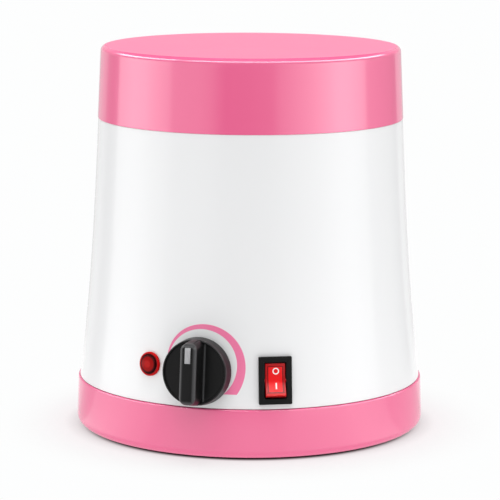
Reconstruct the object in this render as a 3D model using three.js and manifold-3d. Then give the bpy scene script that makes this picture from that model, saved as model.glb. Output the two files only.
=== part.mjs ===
import * as THREE from "three";
import { mergeVertices } from "three/addons/utils/BufferGeometryUtils.js";
import Module from "manifold-3d";

// A wax warmer: a white barrel on a pink base, a pink lid, and a lifting pot inside a heated well.
// Millimetres and degrees. The pot's axis is Z, the floor is z = 0 and the controls face -Y.
// An azimuth is counted from the front, and grows towards the viewer's right.

const wasm = await Module();
wasm.setup();

// Clearances: between pieces that pass each other, between pieces that seat, and past the end of a cut.
const GAP = 0.3;
const FIT = 0.1;
const OVERRUN = 2;

// Facets and steps.
const LARGE_FACETS = 48;
const CUP_FACETS = 40;
const KNOB_FACETS = 36;
const ROUND_FACETS = 24;
const SMALL_FACETS = 12;
const ROUND_STEPS = 4;
const COARSE_STEPS = 2;
const FLARE_STEPS = 6;
const INNER_STEPS = 4;
const WIRE_FACETS = 8;
const WIRE_STEPS = 15;

// Pot: a drawn cup with a rolled rim, two riveted ears and a wire bail.
const POT_BORE_R = 50.8;
const POT_DEPTH = 92;
const POT_SHEET = 1;
const POT_CORNER = 6;
const POT_RIM_WIDTH = 6.2;
const POT_RIM_H = 2.2;
const RIM_ROUND = 0.8;
const EAR_INSET = 1.2;
const EAR_SHEET = 1.2;
const EAR_WIDTH = 10;
const EAR_FOOT = 3.2;
const EAR_HEAD_R = 4.2;
const PIVOT_H = 5.1;
const RIVET_SHANK_R = 1;
const RIVET_HEAD_R = 1.4;
const RIVET_HEAD_H = 0.8;
const BAIL_WIRE_R = 1.5;
const BAIL_BEND = 3;
const BAIL_OUTSIDE = 2.8;
const BAIL_HEAD_R = 2.2;
const BAIL_HEAD_H = 0.8;
const BAIL_STEPS = 44;

// Well: the heated cup that takes the pot, hung from the housing's top deck by three screws.
const WELL_SHEET = 1.2;
const WELL_CLEARANCE = 1.1;
const WELL_CORNER = 6;
const WELL_SCREW_AZIMUTHS = [30, 150, 270];
const WELL_SCREW_MARGIN = 1.4;
const WELL_SCREW = { headR: 2.8, headH: 2, shankR: 1.5, shankL: 8 };
const WELL_BOSS_R = 3.5;
const WELL_BOSS_H = 8;
const WELL_BOSS_BITE = 0.8;
const WELL_FLANGE_MARGIN = 1;

// Housing: a barrel with a flared foot, a shoulder for the lid and a narrower neck.
const HOUSING_WALL = 2.4;
const DECK_CLEARANCE = 2.4;
const NECK_H = 13.2;
const NECK_ROUND = 0.8;
const SHOULDER_WIDTH = 4.45;
const JOINT_ROUND = 0.3;
const BODY_H = 122.8;
const STRAIGHT_FLARE = 5.53;
const CURVED_FLARE = 3.66;
const FLARE_POWER = 2.84;
const SKIRT_DEPTH = 8;
const POST_R = 4;
const POST_BITE = 1;
const POST_RIB = 2.4;
const POST_RIB_H = 16;

// Lid.
const LID_H = 33.8;
const LID_PROUD = 0.19;
const LID_DRAFT = 1.54;
const LID_WALL = 2.4;
const LID_EDGE_R = 2.5;
const LID_RIBS = 8;
const LID_RIB = 1.2;
const LID_RIB_H = 11;

// Base tray: the pink ring with its floor, four screw bosses, vents and the seat of the cord gland.
const FOOT_PROUD = 1.2;
const RING_H = 22.8;
const RING_PROUD = 0.81;
const RING_DRAFT = 0.8;
const RING_WALL = 2.6;
const RING_FOOT_ROUND = 1.8;
const RING_TOP_ROUND = 0.6;
const TRAY_FLOOR = 2.5;
const BASE_SCREW = { headR: 3.5, headH: 2, shankR: 1.5, shankL: 13 };
const BASE_SCREW_AZIMUTHS = [-125, -70, 70, 125];
const TRAY_BOSS_R = 5.5;
const TRAY_BOSS_H = 4.3;
const COUNTERBORE = 4.5;
const FOOT_R = 8;
const FOOT_RECESS = 1;
const FOOT_ROUND = 0.6;
const FOOT_CIRCLE_R = 60;
const FOOT_AZIMUTHS = [-145, -35, 35, 145];
const VENTS = 12;
const VENT_WIDTH = 2.6;
const VENT_LENGTH = 14;
const VENT_CIRCLE_R = 26;

// Cord gland at the back: bush, nut and their flat seats on the ring.
const GLAND_H = 11.3;
const GLAND_SEAT_R = 10;
const GLAND_SEAT_PROUD = 0.6;
const GLAND_SEAT_WALL = 5.2;
const GLAND_FLANGE_R = 8.5;
const GLAND_FLANGE_H = 2;
const GLAND_NOSE_R = 5.6;
const GLAND_LENGTH = 12.6;
const GLAND_BARREL_R = 5;
const GLAND_BORE_R = 3.5;
const GLAND_NUT_R = 8.2;
const GLAND_NUT_H = 3.5;
const GLAND_NOTCH = 1.5;

// Dial: thermostat behind the panel, its nut and shaft, and the knob.
const DIAL_AZIMUTH = -16.6;
const DIAL_H = 16.4;
const KNOB_LIFT = 0.8;
const KNOB_BACK_R = 15.5;
const KNOB_FACE_R = 14.9;
const KNOB_DISC_H = 7.2;
const KNOB_EDGE_ROUND = 0.5;
const KNOB_RIM = 1;
const KNOB_RECESS = 0.8;
const KNOB_HOLLOW_R = 13;
const KNOB_FACE_WALL = 1.5;
const KNOB_HUB_R = 5.4;
const KNOB_HUB_H = 1;
const BAR_H = 11.1;
const BAR_BASE_WIDTH = 8.1;
const BAR_FRONT_WIDTH = 7.5;
const BAR_BASE_LENGTH = 30;
const BAR_FRONT_LENGTH = 27.2;
const BAR_CORNER = 2.6;
const BAR_EDGE = 0.9;
const MARK_WIDTH = 2.6;
const MARK_LENGTH = 7.1;
const MARK_BASE = 4.9;
const MARK_DEPTH = 0.6;
const SHAFT_R = 3;
const SHAFT_FLAT = 1;
const SHAFT_IN_KNOB = 6;
const BUSHING_R = 4.8;
const BUSHING_PROUD = 4.2;
const COLLAR_R = 8;
const DIAL_NUT_R = 7.5;
const DIAL_NUT_H = 2.6;
const SPOT_DEPTH = 0.2;
const THERMOSTAT_SETBACK = 5.6;
const THERMOSTAT_WIDTH = 26;
const THERMOSTAT_HEIGHT = 30;
const THERMOSTAT_DEPTH = 16;
const THERMOSTAT_ROUND = 2;

// Sensing bulb of the thermostat, with its capillary, clipped to the well.
const BULB_AZIMUTH = -60;
const BULB_R = 2.5;
const BULB_RISE = 8;
const BULB_HEADROOM = 11.5;
const CAPILLARY_R = 0.9;
const CAPILLARY_STEPS = 20;
const CLIP_SHEET = 0.8;
const CLIP_FOOT = 4;
const CLIP_LENGTH = 8;

// Lamp.
const LAMP_AZIMUTH = -34.75;
const LAMP_H = 17.3;
const LENS_FLANGE_R = 5.5;
const LENS_FLANGE_H = 1.2;
const LENS_DOME_R = 4;
const LENS_PROUD = 2.4;
const LENS_DOME_ROUND = 0.9;
const LENS_BARREL_R = 3.9;
const LENS_WALL = 0.9;
const LENS_DEPTH = 9;
const LAMP_BODY_LENGTH = 9;
const LAMP_CLIP_R = 7.2;
const LAMP_CLIP_H = 0.8;

// Rocker switch.
const SWITCH_AZIMUTH = 8.3;
const SWITCH_H = 12.9;
const BEZEL_WIDTH = 15.05;
const BEZEL_HEIGHT = 21.6;
const BEZEL_H = 1.8;
const BEZEL_LIP = 1.2;
const SWITCH_DEPTH = 15;
const SWITCH_TAB = 0.8;
const SWITCH_TAB_H = 4;
const SWITCH_TAB_WIDTH = 6;
const ROCKER_WIDTH = 9.2;
const ROCKER_LENGTH = 15.6;
const ROCKER_END_H = 2.6;
const ROCKER_DIP = 1.2;
const ROCKER_HEEL_H = 2;
const ROCKER_HEEL_WIDTH = 4;
const ROCKER_DEPTH = 4.2;
const ROCKER_SWING = 20;
const ROCKER_PIN_R = 1;
const ROCKER_PIN_L = 0.8;
const BLADE_WIDTH = 4.8;
const BLADE_SHEET = 0.8;
const BLADE_LENGTH = 7;
const BLADE_PITCH = 6;
const BLADE_HOLE_R = 0.8;

// Heater band round the well, with its clamp.
const BAND_FIT = 0.2;
const BAND_THICKNESS = 3;
const BAND_WIDTH = 30;
const BAND_RISE = 12;
const BAND_SLIT = 6;
const CLAMP_SHEET = 1.6;
const CLAMP_REACH = 9;
const CLAMP_WIDTH = 12;
const CLAMP_SCREW = { headR: 2.8, headH: 2, shankR: 1.5, shankL: 12 };
const CLAMP_NUT_R = 3.2;
const CLAMP_NUT_H = 2.4;
const HEATER_LEAD_AZIMUTH = 160;

// Thermal fuse under the well.
const FUSE_R = 2;
const FUSE_LENGTH = 11;
const FUSE_LEAD_R = 0.6;
const FUSE_LEAD = 5;
const FUSE_BACK = 20;

// Terminal block on the tray floor.
const BLOCK_BACK = 40;
const BLOCK_WIDTH = 22;
const BLOCK_DEPTH = 16;
const BLOCK_H = 11;
const BLOCK_EDGE = 1;
const POLE_PITCH = 13;
const POLE_H = 5;
const POLE_BORE_R = 1.7;
const POLE_SCREW_R = 1.9;
const BLOCK_SCREW = { headR: 2.4, headH: 1.8, shankR: 1.3, shankL: 5.2 };
const BLOCK_SCREW_SEAT_H = 4;

// Inner wires. The middle of each route is a list of places: a share of the skirt's bore, an azimuth,
// and a share of the height between the tray floor and the foot of the well.
const WIRE_R = 1;
const WIRE_LEAD = 6;
const ROUTE_SHARES = {
  sensor_bulb: [[0.68, -52, 0.93], [0.45, -38, 0.8]],
  wire_block_to_switch: [[0.3, -60, 0.05], [0.45, 8, 0.45]],
  wire_switch_to_thermostat: [[0.42, -2, 0.25]],
  wire_thermostat_to_fuse: [[0.35, -80, 0.6]],
  wire_fuse_to_heater: [[0.55, 140, 0.85]],
  wire_heater_to_block: [[0.5, -165, 0.75], [0.2, 155, 0.4]],
  wire_lamp_feed: [[0.4, -48, 0.15]],
  wire_lamp_to_block: [[0.5, -70, 0.25], [0.15, -60, 0.08]],
  wire_switch_to_block: [[0.35, 40, 0.15]],
};

// Shares of a screw's head: the width, length and depth of its cross recess.
const RECESS_SHARES = { width: 0.3, length: 1.1, depth: 0.55 };

// Radii and heights that follow from the sizes above, from the pot outwards and from the floor up.
const potR = POT_BORE_R + POT_SHEET;
const potRimR = potR + POT_RIM_WIDTH;
const wellBoreR = potR + WELL_CLEARANCE;
const wellR = wellBoreR + WELL_SHEET;
const deckHoleR = wellR + DECK_CLEARANCE;
const wellScrewR = potRimR + WELL_SCREW_MARGIN + WELL_SCREW.headR;
const wellFlangeR = wellScrewR + WELL_SCREW.headR + WELL_FLANGE_MARGIN;
const neckBoreR = wellScrewR + WELL_BOSS_R - WELL_BOSS_BITE;
const neckR = neckBoreR + HOUSING_WALL;
const bodyTopR = neckR + SHOULDER_WIDTH;
const ringTopR = bodyTopR + STRAIGHT_FLARE + CURVED_FLARE + RING_PROUD;
const ringFootR = ringTopR + RING_DRAFT;
const trayBoreR = ringTopR - RING_WALL;
const skirtR = trayBoreR - GAP;
const skirtBoreR = skirtR - HOUSING_WALL;
const postCircleR = skirtBoreR + POST_BITE - POST_R;

const trayFloorZ = FOOT_PROUD + TRAY_FLOOR;
const trayBossZ = trayFloorZ + TRAY_BOSS_H;
const ringTopZ = FOOT_PROUD + RING_H;
const shoulderZ = ringTopZ + BODY_H;
const lidTopZ = shoulderZ + LID_H;
const deckZ = shoulderZ + NECK_H;
const wellTopZ = deckZ + WELL_SHEET;
const potTopZ = wellTopZ + POT_RIM_H;
const potFloorZ = potTopZ - POT_DEPTH;
const potFootZ = potFloorZ - POT_SHEET;
const wellFloorZ = potFootZ - WELL_CLEARANCE;
const wellFootZ = wellFloorZ - WELL_SHEET;
const pivotZ = potTopZ + PIVOT_H;
const bandZ = wellFootZ + BAND_RISE;
const bandTopZ = bandZ + BAND_WIDTH;

const PINK = { color: 0xf0679c, roughness: 0.22, metalness: 0 };
const WHITE = { color: 0xf2f2f3, roughness: 0.25, metalness: 0 };
const BLACK = { color: 0x1c1c1c, roughness: 0.4, metalness: 0 };
const MATT_BLACK = { color: 0x232424, roughness: 0.6, metalness: 0 };
const SILVER_PAINT = { color: 0xb9b9bb, roughness: 0.45, metalness: 0.3 };
const RED_LENS = { color: 0xc31218, roughness: 0.15, metalness: 0 };
const RUBBER = { color: 0x2b2b2c, roughness: 0.85, metalness: 0 };
const ALUMINIUM = { color: 0xc9cbcd, roughness: 0.35, metalness: 1 };
const STEEL = { color: 0x9fa2a5, roughness: 0.35, metalness: 1 };
const BRASS = { color: 0xc9a24e, roughness: 0.35, metalness: 1 };
const COPPER = { color: 0xb4693c, roughness: 0.4, metalness: 1 };
const MICA = { color: 0x8d8778, roughness: 0.6, metalness: 0.4 };
const NYLON = { color: 0xe9e6dc, roughness: 0.5, metalness: 0 };
const PHENOLIC = { color: 0x4a3226, roughness: 0.6, metalness: 0 };
const BROWN_WIRE = { color: 0x6d4028, roughness: 0.5, metalness: 0 };
const BLUE_WIRE = { color: 0x2a5fa8, roughness: 0.5, metalness: 0 };
const RED_WIRE = { color: 0xb8352c, roughness: 0.6, metalness: 0 };
const WHITE_WIRE = { color: 0xe4e2dc, roughness: 0.6, metalness: 0 };

// The housing's outer radius at a height.
function bodyRadius(z) {
  const drop = (shoulderZ - z) / BODY_H;
  return bodyTopR + STRAIGHT_FLARE * drop + CURVED_FLARE * drop ** FLARE_POWER;
}

// A point at a radius, an azimuth and a height.
function around(radius, azimuth, z = 0) {
  const turn = THREE.MathUtils.degToRad(azimuth);
  return new THREE.Vector3(radius * Math.sin(turn), -radius * Math.cos(turn), z);
}

// A group at a point, whose Z axis points along `out` and whose X axis is level.
function frameAt(origin, out) {
  const across = new THREE.Vector3(-out.y, out.x, 0).normalize();
  const up = new THREE.Vector3().crossVectors(out, across);
  const frame = new THREE.Group();
  frame.position.copy(origin);
  frame.quaternion.setFromRotationMatrix(new THREE.Matrix4().makeBasis(across, up, out));
  frame.updateMatrix();
  return frame;
}

// A frame on the housing's outer face, tangent to it, at a height above the base ring.
function panelFrame(azimuth, rise) {
  const z = ringTopZ + rise;
  const lean = Math.atan2(bodyRadius(z - FIT) - bodyRadius(z + FIT), 2 * FIT);
  const out = around(Math.cos(lean), azimuth, Math.sin(lean));
  return frameAt(around(bodyRadius(z), azimuth, z), out);
}

// The points of an outline through corners [x, y, radius]. A corner without a radius stays sharp.
function outline(corners, steps = ROUND_STEPS) {
  const at = (i) => new THREE.Vector2(...corners[(i + corners.length) % corners.length]);
  return corners.flatMap(([, , radius], i) => {
    const corner = at(i);
    if (!radius) return [corner];
    const back = at(i - 1).sub(corner).normalize();
    const ahead = at(i + 1).sub(corner).normalize();
    const half = back.angleTo(ahead) / 2;
    const start = corner.clone().addScaledVector(back, radius / Math.tan(half));
    const middle = back.clone().add(ahead).setLength(radius / Math.sin(half)).add(corner);
    const spoke = start.clone().sub(middle);
    const sweep = (Math.PI - 2 * half) * Math.sign(ahead.cross(back));
    return Array.from({ length: steps + 1 }, (_, k) =>
      spoke.clone().rotateAround(new THREE.Vector2(), (sweep * k) / steps).add(middle),
    );
  });
}

// A body turned about Z from a closed outline of [radius, z] corners.
function turned(corners, facets = ROUND_FACETS, steps = ROUND_STEPS) {
  const points = outline(corners, steps);
  if (THREE.ShapeUtils.isClockWise(points)) points.reverse();
  const onAxis = points.findIndex((p, i) => p.x === 0 && points.at(i - 1).x === 0);
  if (onAxis >= 0) points.push(...points.splice(0, onAxis));
  else points.push(points[0].clone());
  return new THREE.LatheGeometry(points, facets).rotateX(Math.PI / 2);
}

// An outline in X and Y, pulled along Z.
function pulled(corners, from, to, steps = ROUND_STEPS) {
  const shape = new THREE.Shape(outline(corners, steps));
  const depth = to - from;
  return new THREE.ExtrudeGeometry(shape, { depth, bevelEnabled: false }).translate(0, 0, from);
}

function rod(radius, from, to, facets = ROUND_FACETS) {
  const cylinder = new THREE.CylinderGeometry(radius, radius, to - from, facets);
  return cylinder.rotateX(Math.PI / 2).translate(0, 0, (from + to) / 2);
}

function block(width, depth, from, to) {
  return new THREE.BoxGeometry(width, depth, to - from).translate(0, 0, (from + to) / 2);
}

// The four corners of a rectangle about the origin.
function rectangle(width, height, radius) {
  const x = width / 2;
  const y = height / 2;
  return [[x, y, radius], [-x, y, radius], [-x, -y, radius], [x, -y, radius]];
}

// A round tube along a smooth curve through points.
function tube(points, radius, steps, sides = WIRE_FACETS) {
  const ring = Array.from({ length: sides }, (_, k) =>
    new THREE.Vector2(radius, 0).rotateAround(new THREE.Vector2(), (2 * Math.PI * k) / sides),
  );
  const extrudePath = new THREE.CatmullRomCurve3(points, false, "centripetal");
  return new THREE.ExtrudeGeometry(new THREE.Shape(ring), { steps, extrudePath });
}

// A geometry as a solid that can be joined and cut.
function solid(geometry) {
  const bare = new THREE.BufferGeometry().setIndex(geometry.index);
  bare.setAttribute("position", geometry.getAttribute("position"));
  const merged = mergeVertices(bare);
  const vertProperties = merged.getAttribute("position").array;
  const triVerts = new Uint32Array(merged.index.array);
  return new wasm.Manifold(new wasm.Mesh({ numProp: 3, vertProperties, triVerts }));
}

const joined = (geometries) => geometries.map(solid).reduce((whole, piece) => whole.add(piece));
const cut = (whole, tools) => tools.map(solid).reduce((left, tool) => left.subtract(tool), whole);

// A solid as flat-shaded geometry.
function geometryOf(made) {
  const { vertProperties, triVerts } = made.getMesh();
  const shared = new THREE.BufferGeometry();
  shared.setAttribute("position", new THREE.BufferAttribute(vertProperties, 3));
  shared.setIndex(new THREE.BufferAttribute(triVerts, 1));
  const flat = shared.toNonIndexed();
  flat.computeVertexNormals();
  return flat;
}

// Adds a named piece with its own material to a group.
function add(group, name, made, look) {
  const mesh = new THREE.Mesh(geometryOf(made), new THREE.MeshStandardMaterial(look));
  mesh.name = name;
  group.add(mesh);
  return mesh;
}

// A cross-head screw. It seats at z = 0 with its head above and its shank below.
function screw({ headR, headH, shankR, shankL }) {
  const corners = [[0, 0], [headR, 0], [headR, headH, headH / 2], [0, headH]];
  const head = turned(corners, SMALL_FACETS, COARSE_STEPS);
  const depth = headH * RECESS_SHARES.depth;
  const slot = [headR * RECESS_SHARES.length, headR * RECESS_SHARES.width];
  return cut(joined([head, rod(shankR, -shankL, headH / 2, SMALL_FACETS)]), [
    block(slot[0], slot[1], headH - depth, headH + OVERRUN),
    block(slot[1], slot[0], headH - depth, headH + OVERRUN),
  ]);
}

// A hexagon nut with its seat at z = 0.
function nut(radius, height, boreR) {
  return cut(solid(rod(radius, 0, height, 6)), [rod(boreR, -OVERRUN, height + OVERRUN)]);
}

// A strap over a rod that lies along Z, with feet that stand on the plane y = 0.
function strap(rodR) {
  const inner = rodR + FIT;
  const outer = inner + CLIP_SHEET;
  const top = 2 * rodR + FIT;
  const reach = outer + CLIP_FOOT;
  return solid(pulled([
    [-reach, 0], [-inner, 0], [-inner, top, inner], [inner, top, inner], [inner, 0], [reach, 0],
    [reach, CLIP_SHEET], [outer, CLIP_SHEET], [outer, top + CLIP_SHEET, outer],
    [-outer, top + CLIP_SHEET, outer], [-outer, CLIP_SHEET], [-reach, CLIP_SHEET],
  ], -CLIP_LENGTH / 2, CLIP_LENGTH / 2));
}

const dial = panelFrame(DIAL_AZIMUTH, DIAL_H);
const lamp = panelFrame(LAMP_AZIMUTH, LAMP_H);
const power = panelFrame(SWITCH_AZIMUTH, SWITCH_H);
const glandSeatY = ringTopR + GLAND_SEAT_PROUD;
const gland = frameAt(
  new THREE.Vector3(0, glandSeatY, FOOT_PROUD + GLAND_H),
  new THREE.Vector3(0, 1, 0),
);

const onFrame = (frame, geometry) => geometry.applyMatrix4(frame.matrix);

function lidSolid() {
  const footR = bodyTopR + LID_PROUD;
  const topR = footR - LID_DRAFT;
  const ceilingZ = lidTopZ - LID_WALL;
  const shell = turned([
    [footR - LID_WALL, shoulderZ],
    [footR, shoulderZ, JOINT_ROUND],
    [topR, lidTopZ, LID_EDGE_R],
    [0, lidTopZ],
    [0, ceilingZ],
    [topR - LID_WALL, ceilingZ, LID_EDGE_R / 2],
  ], LARGE_FACETS, COARSE_STEPS);
  const inside = neckR + GAP;
  const depth = topR - LID_WALL / 2 - inside;
  const ribs = Array.from({ length: LID_RIBS }, (_, k) =>
    block(LID_RIB, depth, shoulderZ + LID_RIB, shoulderZ + LID_RIB_H)
      .translate(0, inside + depth / 2, 0)
      .rotateZ((2 * Math.PI * k) / LID_RIBS),
  );
  return joined([shell, ...ribs]);
}

function housingOutline() {
  const deckUnderZ = deckZ - HOUSING_WALL;
  const wallTopZ = shoulderZ - HOUSING_WALL;
  const wallFootZ = ringTopZ + HOUSING_WALL;
  const outer = Array.from({ length: FLARE_STEPS }, (_, k) => {
    const z = ringTopZ + (BODY_H * k) / FLARE_STEPS;
    return [bodyRadius(z), z];
  });
  const inner = Array.from({ length: INNER_STEPS }, (_, k) => {
    const z = wallTopZ - ((wallTopZ - wallFootZ) * k) / (INNER_STEPS - 1);
    return [bodyRadius(z) - HOUSING_WALL, z];
  });
  return [
    [skirtBoreR, ringTopZ - SKIRT_DEPTH],
    [skirtR, ringTopZ - SKIRT_DEPTH],
    [skirtR, ringTopZ],
    ...outer,
    [bodyTopR, shoulderZ, JOINT_ROUND],
    [neckR, shoulderZ],
    [neckR, deckZ, NECK_ROUND],
    [deckHoleR, deckZ],
    [deckHoleR, deckUnderZ],
    [neckBoreR, deckUnderZ],
    [neckBoreR, wallTopZ],
    ...inner,
    [skirtBoreR, ringTopZ],
  ];
}

function housingSolid() {
  const postFootZ = trayBossZ;
  const postTopZ = ringTopZ + POST_RIB_H;
  const posts = BASE_SCREW_AZIMUTHS.flatMap((azimuth) => {
    const { x, y } = around(postCircleR, azimuth);
    const reach = skirtBoreR + HOUSING_WALL / 2 - postCircleR;
    const rib = block(POST_RIB, reach, ringTopZ - SKIRT_DEPTH, postTopZ)
      .translate(0, -postCircleR - reach / 2, 0)
      .rotateZ(THREE.MathUtils.degToRad(azimuth));
    return [rod(POST_R, postFootZ, postTopZ, SMALL_FACETS).translate(x, y, 0), rib];
  });
  const bosses = WELL_SCREW_AZIMUTHS.map((azimuth) => {
    const { x, y } = around(wellScrewR, azimuth);
    const foot = deckZ - WELL_BOSS_H;
    return rod(WELL_BOSS_R, foot, deckZ - HOUSING_WALL / 2, SMALL_FACETS).translate(x, y, 0);
  });
  const postHoles = BASE_SCREW_AZIMUTHS.map((azimuth) => {
    const { x, y } = around(postCircleR, azimuth);
    const top = FOOT_PROUD + COUNTERBORE + BASE_SCREW.shankL + OVERRUN;
    return rod(BASE_SCREW.shankR + FIT, postFootZ - OVERRUN, top, SMALL_FACETS).translate(x, y, 0);
  });
  const bossHoles = WELL_SCREW_AZIMUTHS.map((azimuth) => {
    const { x, y } = around(wellScrewR, azimuth);
    const foot = wellTopZ - WELL_SCREW.shankL - FIT;
    return rod(WELL_SCREW.shankR + FIT, foot, deckZ + OVERRUN, SMALL_FACETS).translate(x, y, 0);
  });
  const behind = -HOUSING_WALL + SPOT_DEPTH;
  const through = -2 * HOUSING_WALL;
  const notchWidth = 2 * (GLAND_SEAT_R + GLAND_NOTCH);
  const notchDepth = GLAND_SEAT_WALL + GLAND_NUT_H + OVERRUN;
  const notch = block(notchWidth, notchDepth, ringTopZ - SKIRT_DEPTH - OVERRUN, ringTopZ - GAP);
  return cut(joined([turned(housingOutline(), LARGE_FACETS, COARSE_STEPS), ...posts, ...bosses]), [
    ...postHoles,
    ...bossHoles,
    onFrame(dial, rod(BUSHING_R + GAP, through, OVERRUN)),
    onFrame(dial, rod(COLLAR_R + GAP, behind - OVERRUN, behind)),
    onFrame(lamp, rod(LENS_BARREL_R + GAP, through, OVERRUN)),
    onFrame(lamp, rod(LAMP_CLIP_R + GAP, behind - OVERRUN, behind)),
    onFrame(power, block(switchWidth + 2 * GAP, switchHeight + 2 * GAP, through, OVERRUN)),
    notch.translate(0, glandSeatY - notchDepth / 2, 0),
  ]);
}

function baseTraySolid() {
  const shell = turned([
    [0, FOOT_PROUD],
    [ringFootR, FOOT_PROUD, RING_FOOT_ROUND],
    [ringTopR, ringTopZ, RING_TOP_ROUND],
    [trayBoreR, ringTopZ],
    [trayBoreR, trayFloorZ],
    [0, trayFloorZ],
  ], LARGE_FACETS, COARSE_STEPS);
  const bosses = BASE_SCREW_AZIMUTHS.map((azimuth) => {
    const { x, y } = around(postCircleR, azimuth);
    return rod(TRAY_BOSS_R, trayFloorZ - TRAY_FLOOR / 2, trayBossZ).translate(x, y, 0);
  });
  const screwHoles = BASE_SCREW_AZIMUTHS.flatMap((azimuth) => {
    const { x, y } = around(postCircleR, azimuth);
    const seatZ = FOOT_PROUD + COUNTERBORE;
    return [
      rod(BASE_SCREW.headR + GAP, -OVERRUN, seatZ).translate(x, y, 0),
      rod(BASE_SCREW.shankR + GAP, -OVERRUN, trayBossZ + OVERRUN, SMALL_FACETS).translate(x, y, 0),
    ];
  });
  const footRecesses = FOOT_AZIMUTHS.map((azimuth) => {
    const { x, y } = around(FOOT_CIRCLE_R, azimuth);
    return rod(FOOT_R + FIT, -OVERRUN, FOOT_PROUD + FOOT_RECESS).translate(x, y, 0);
  });
  const vents = Array.from({ length: VENTS }, (_, k) =>
    pulled(rectangle(VENT_WIDTH, VENT_LENGTH, VENT_WIDTH / 3), -OVERRUN, trayFloorZ + OVERRUN, 1)
      .translate(0, VENT_CIRCLE_R, 0)
      .rotateZ((2 * Math.PI * (k + 1 / 2)) / VENTS),
  );
  const blockHole = rod(BLOCK_SCREW.shankR + FIT, -OVERRUN, trayFloorZ + OVERRUN, SMALL_FACETS);
  const seat = onFrame(gland, rod(GLAND_SEAT_R, -GLAND_SEAT_WALL, 0));
  return cut(joined([shell, ...bosses, seat]), [
    ...screwHoles,
    ...footRecesses,
    ...vents,
    blockHole.translate(0, BLOCK_BACK, 0),
    onFrame(gland, rod(GLAND_BARREL_R + GAP, -GLAND_SEAT_WALL - OVERRUN, OVERRUN)),
    onFrame(gland, rod(GLAND_SEAT_R, 0, OVERRUN)),
    onFrame(gland, rod(GLAND_SEAT_R, -GLAND_SEAT_WALL - OVERRUN, -GLAND_SEAT_WALL)),
  ]);
}

function footSolid() {
  return solid(turned([
    [0, 0],
    [FOOT_R, 0, FOOT_ROUND],
    [FOOT_R, FOOT_PROUD + FOOT_RECESS],
    [0, FOOT_PROUD + FOOT_RECESS],
  ], ROUND_FACETS, COARSE_STEPS));
}

function glandSolid() {
  return solid(turned([
    [GLAND_BORE_R, -GLAND_SEAT_WALL - GLAND_NUT_H - GLAND_FLANGE_H],
    [GLAND_BARREL_R, -GLAND_SEAT_WALL - GLAND_NUT_H - GLAND_FLANGE_H],
    [GLAND_BARREL_R, FIT],
    [GLAND_FLANGE_R, FIT],
    [GLAND_FLANGE_R, GLAND_FLANGE_H, GLAND_FLANGE_H / 3],
    [GLAND_NOSE_R + GLAND_FLANGE_H / 2, GLAND_FLANGE_H],
    [GLAND_NOSE_R, GLAND_LENGTH, GLAND_FLANGE_H / 2],
    [GLAND_BORE_R, GLAND_LENGTH, GLAND_FLANGE_H / 3],
  ], ROUND_FACETS, COARSE_STEPS));
}

function wellSolid() {
  const cup = turned([
    [0, wellFootZ],
    [wellR, wellFootZ, WELL_CORNER],
    [wellR, deckZ],
    [wellFlangeR, deckZ],
    [wellFlangeR, wellTopZ],
    [wellBoreR, wellTopZ, WELL_SHEET],
    [wellBoreR, wellFloorZ, WELL_CORNER - WELL_SHEET],
    [0, wellFloorZ],
  ], CUP_FACETS, COARSE_STEPS);
  return cut(solid(cup), WELL_SCREW_AZIMUTHS.map((azimuth) => {
    const { x, y } = around(wellScrewR, azimuth);
    const hole = rod(WELL_SCREW.shankR + GAP, deckZ - OVERRUN, wellTopZ + OVERRUN, SMALL_FACETS);
    return hole.translate(x, y, 0);
  }));
}

const earX = POT_BORE_R + EAR_INSET;
const rivetX = earX + EAR_SHEET + EAR_FOOT / 2;

function potSolid() {
  const cup = turned([
    [0, potFootZ],
    [potR, potFootZ, POT_CORNER],
    [potR, potTopZ - POT_SHEET],
    [potRimR - POT_SHEET, potTopZ - POT_SHEET],
    [potRimR - POT_SHEET, wellTopZ],
    [potRimR, wellTopZ],
    [potRimR, potTopZ, RIM_ROUND],
    [POT_BORE_R, potTopZ, POT_SHEET],
    [POT_BORE_R, potFloorZ, POT_CORNER - POT_SHEET],
    [0, potFloorZ],
  ], CUP_FACETS, COARSE_STEPS);
  const holes = [rivetX, -rivetX].map((x) =>
    rod(RIVET_SHANK_R + FIT, wellTopZ, potTopZ + OVERRUN, SMALL_FACETS).translate(x, 0, 0),
  );
  return cut(solid(cup), holes);
}

// An ear on the +X side of the rim: a foot on the rim and an upright plate with the bail's hole.
function earSolid() {
  const top = PIVOT_H + EAR_HEAD_R;
  const half = EAR_WIDTH / 2;
  const plate = pulled([
    [-half, 0], [half, 0], [half, PIVOT_H], [EAR_HEAD_R, top, EAR_HEAD_R / 2],
    [-EAR_HEAD_R, top, EAR_HEAD_R / 2], [-half, PIVOT_H],
  ], 0, EAR_SHEET);
  const upright = plate.rotateX(Math.PI / 2).rotateZ(Math.PI / 2).translate(earX, 0, potTopZ);
  const length = EAR_SHEET + EAR_FOOT;
  const foot = block(length, EAR_WIDTH, potTopZ, potTopZ + EAR_SHEET);
  const eye = rod(BAIL_WIRE_R + GAP, -OVERRUN, EAR_SHEET + OVERRUN).rotateY(Math.PI / 2);
  const rivetHole = rod(RIVET_SHANK_R + FIT, potTopZ - OVERRUN, potTopZ + OVERRUN, SMALL_FACETS);
  return cut(joined([upright, foot.translate(earX + length / 2, 0, 0)]), [
    eye.translate(earX, 0, pivotZ),
    rivetHole.translate(rivetX, 0, 0),
  ]);
}

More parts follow.
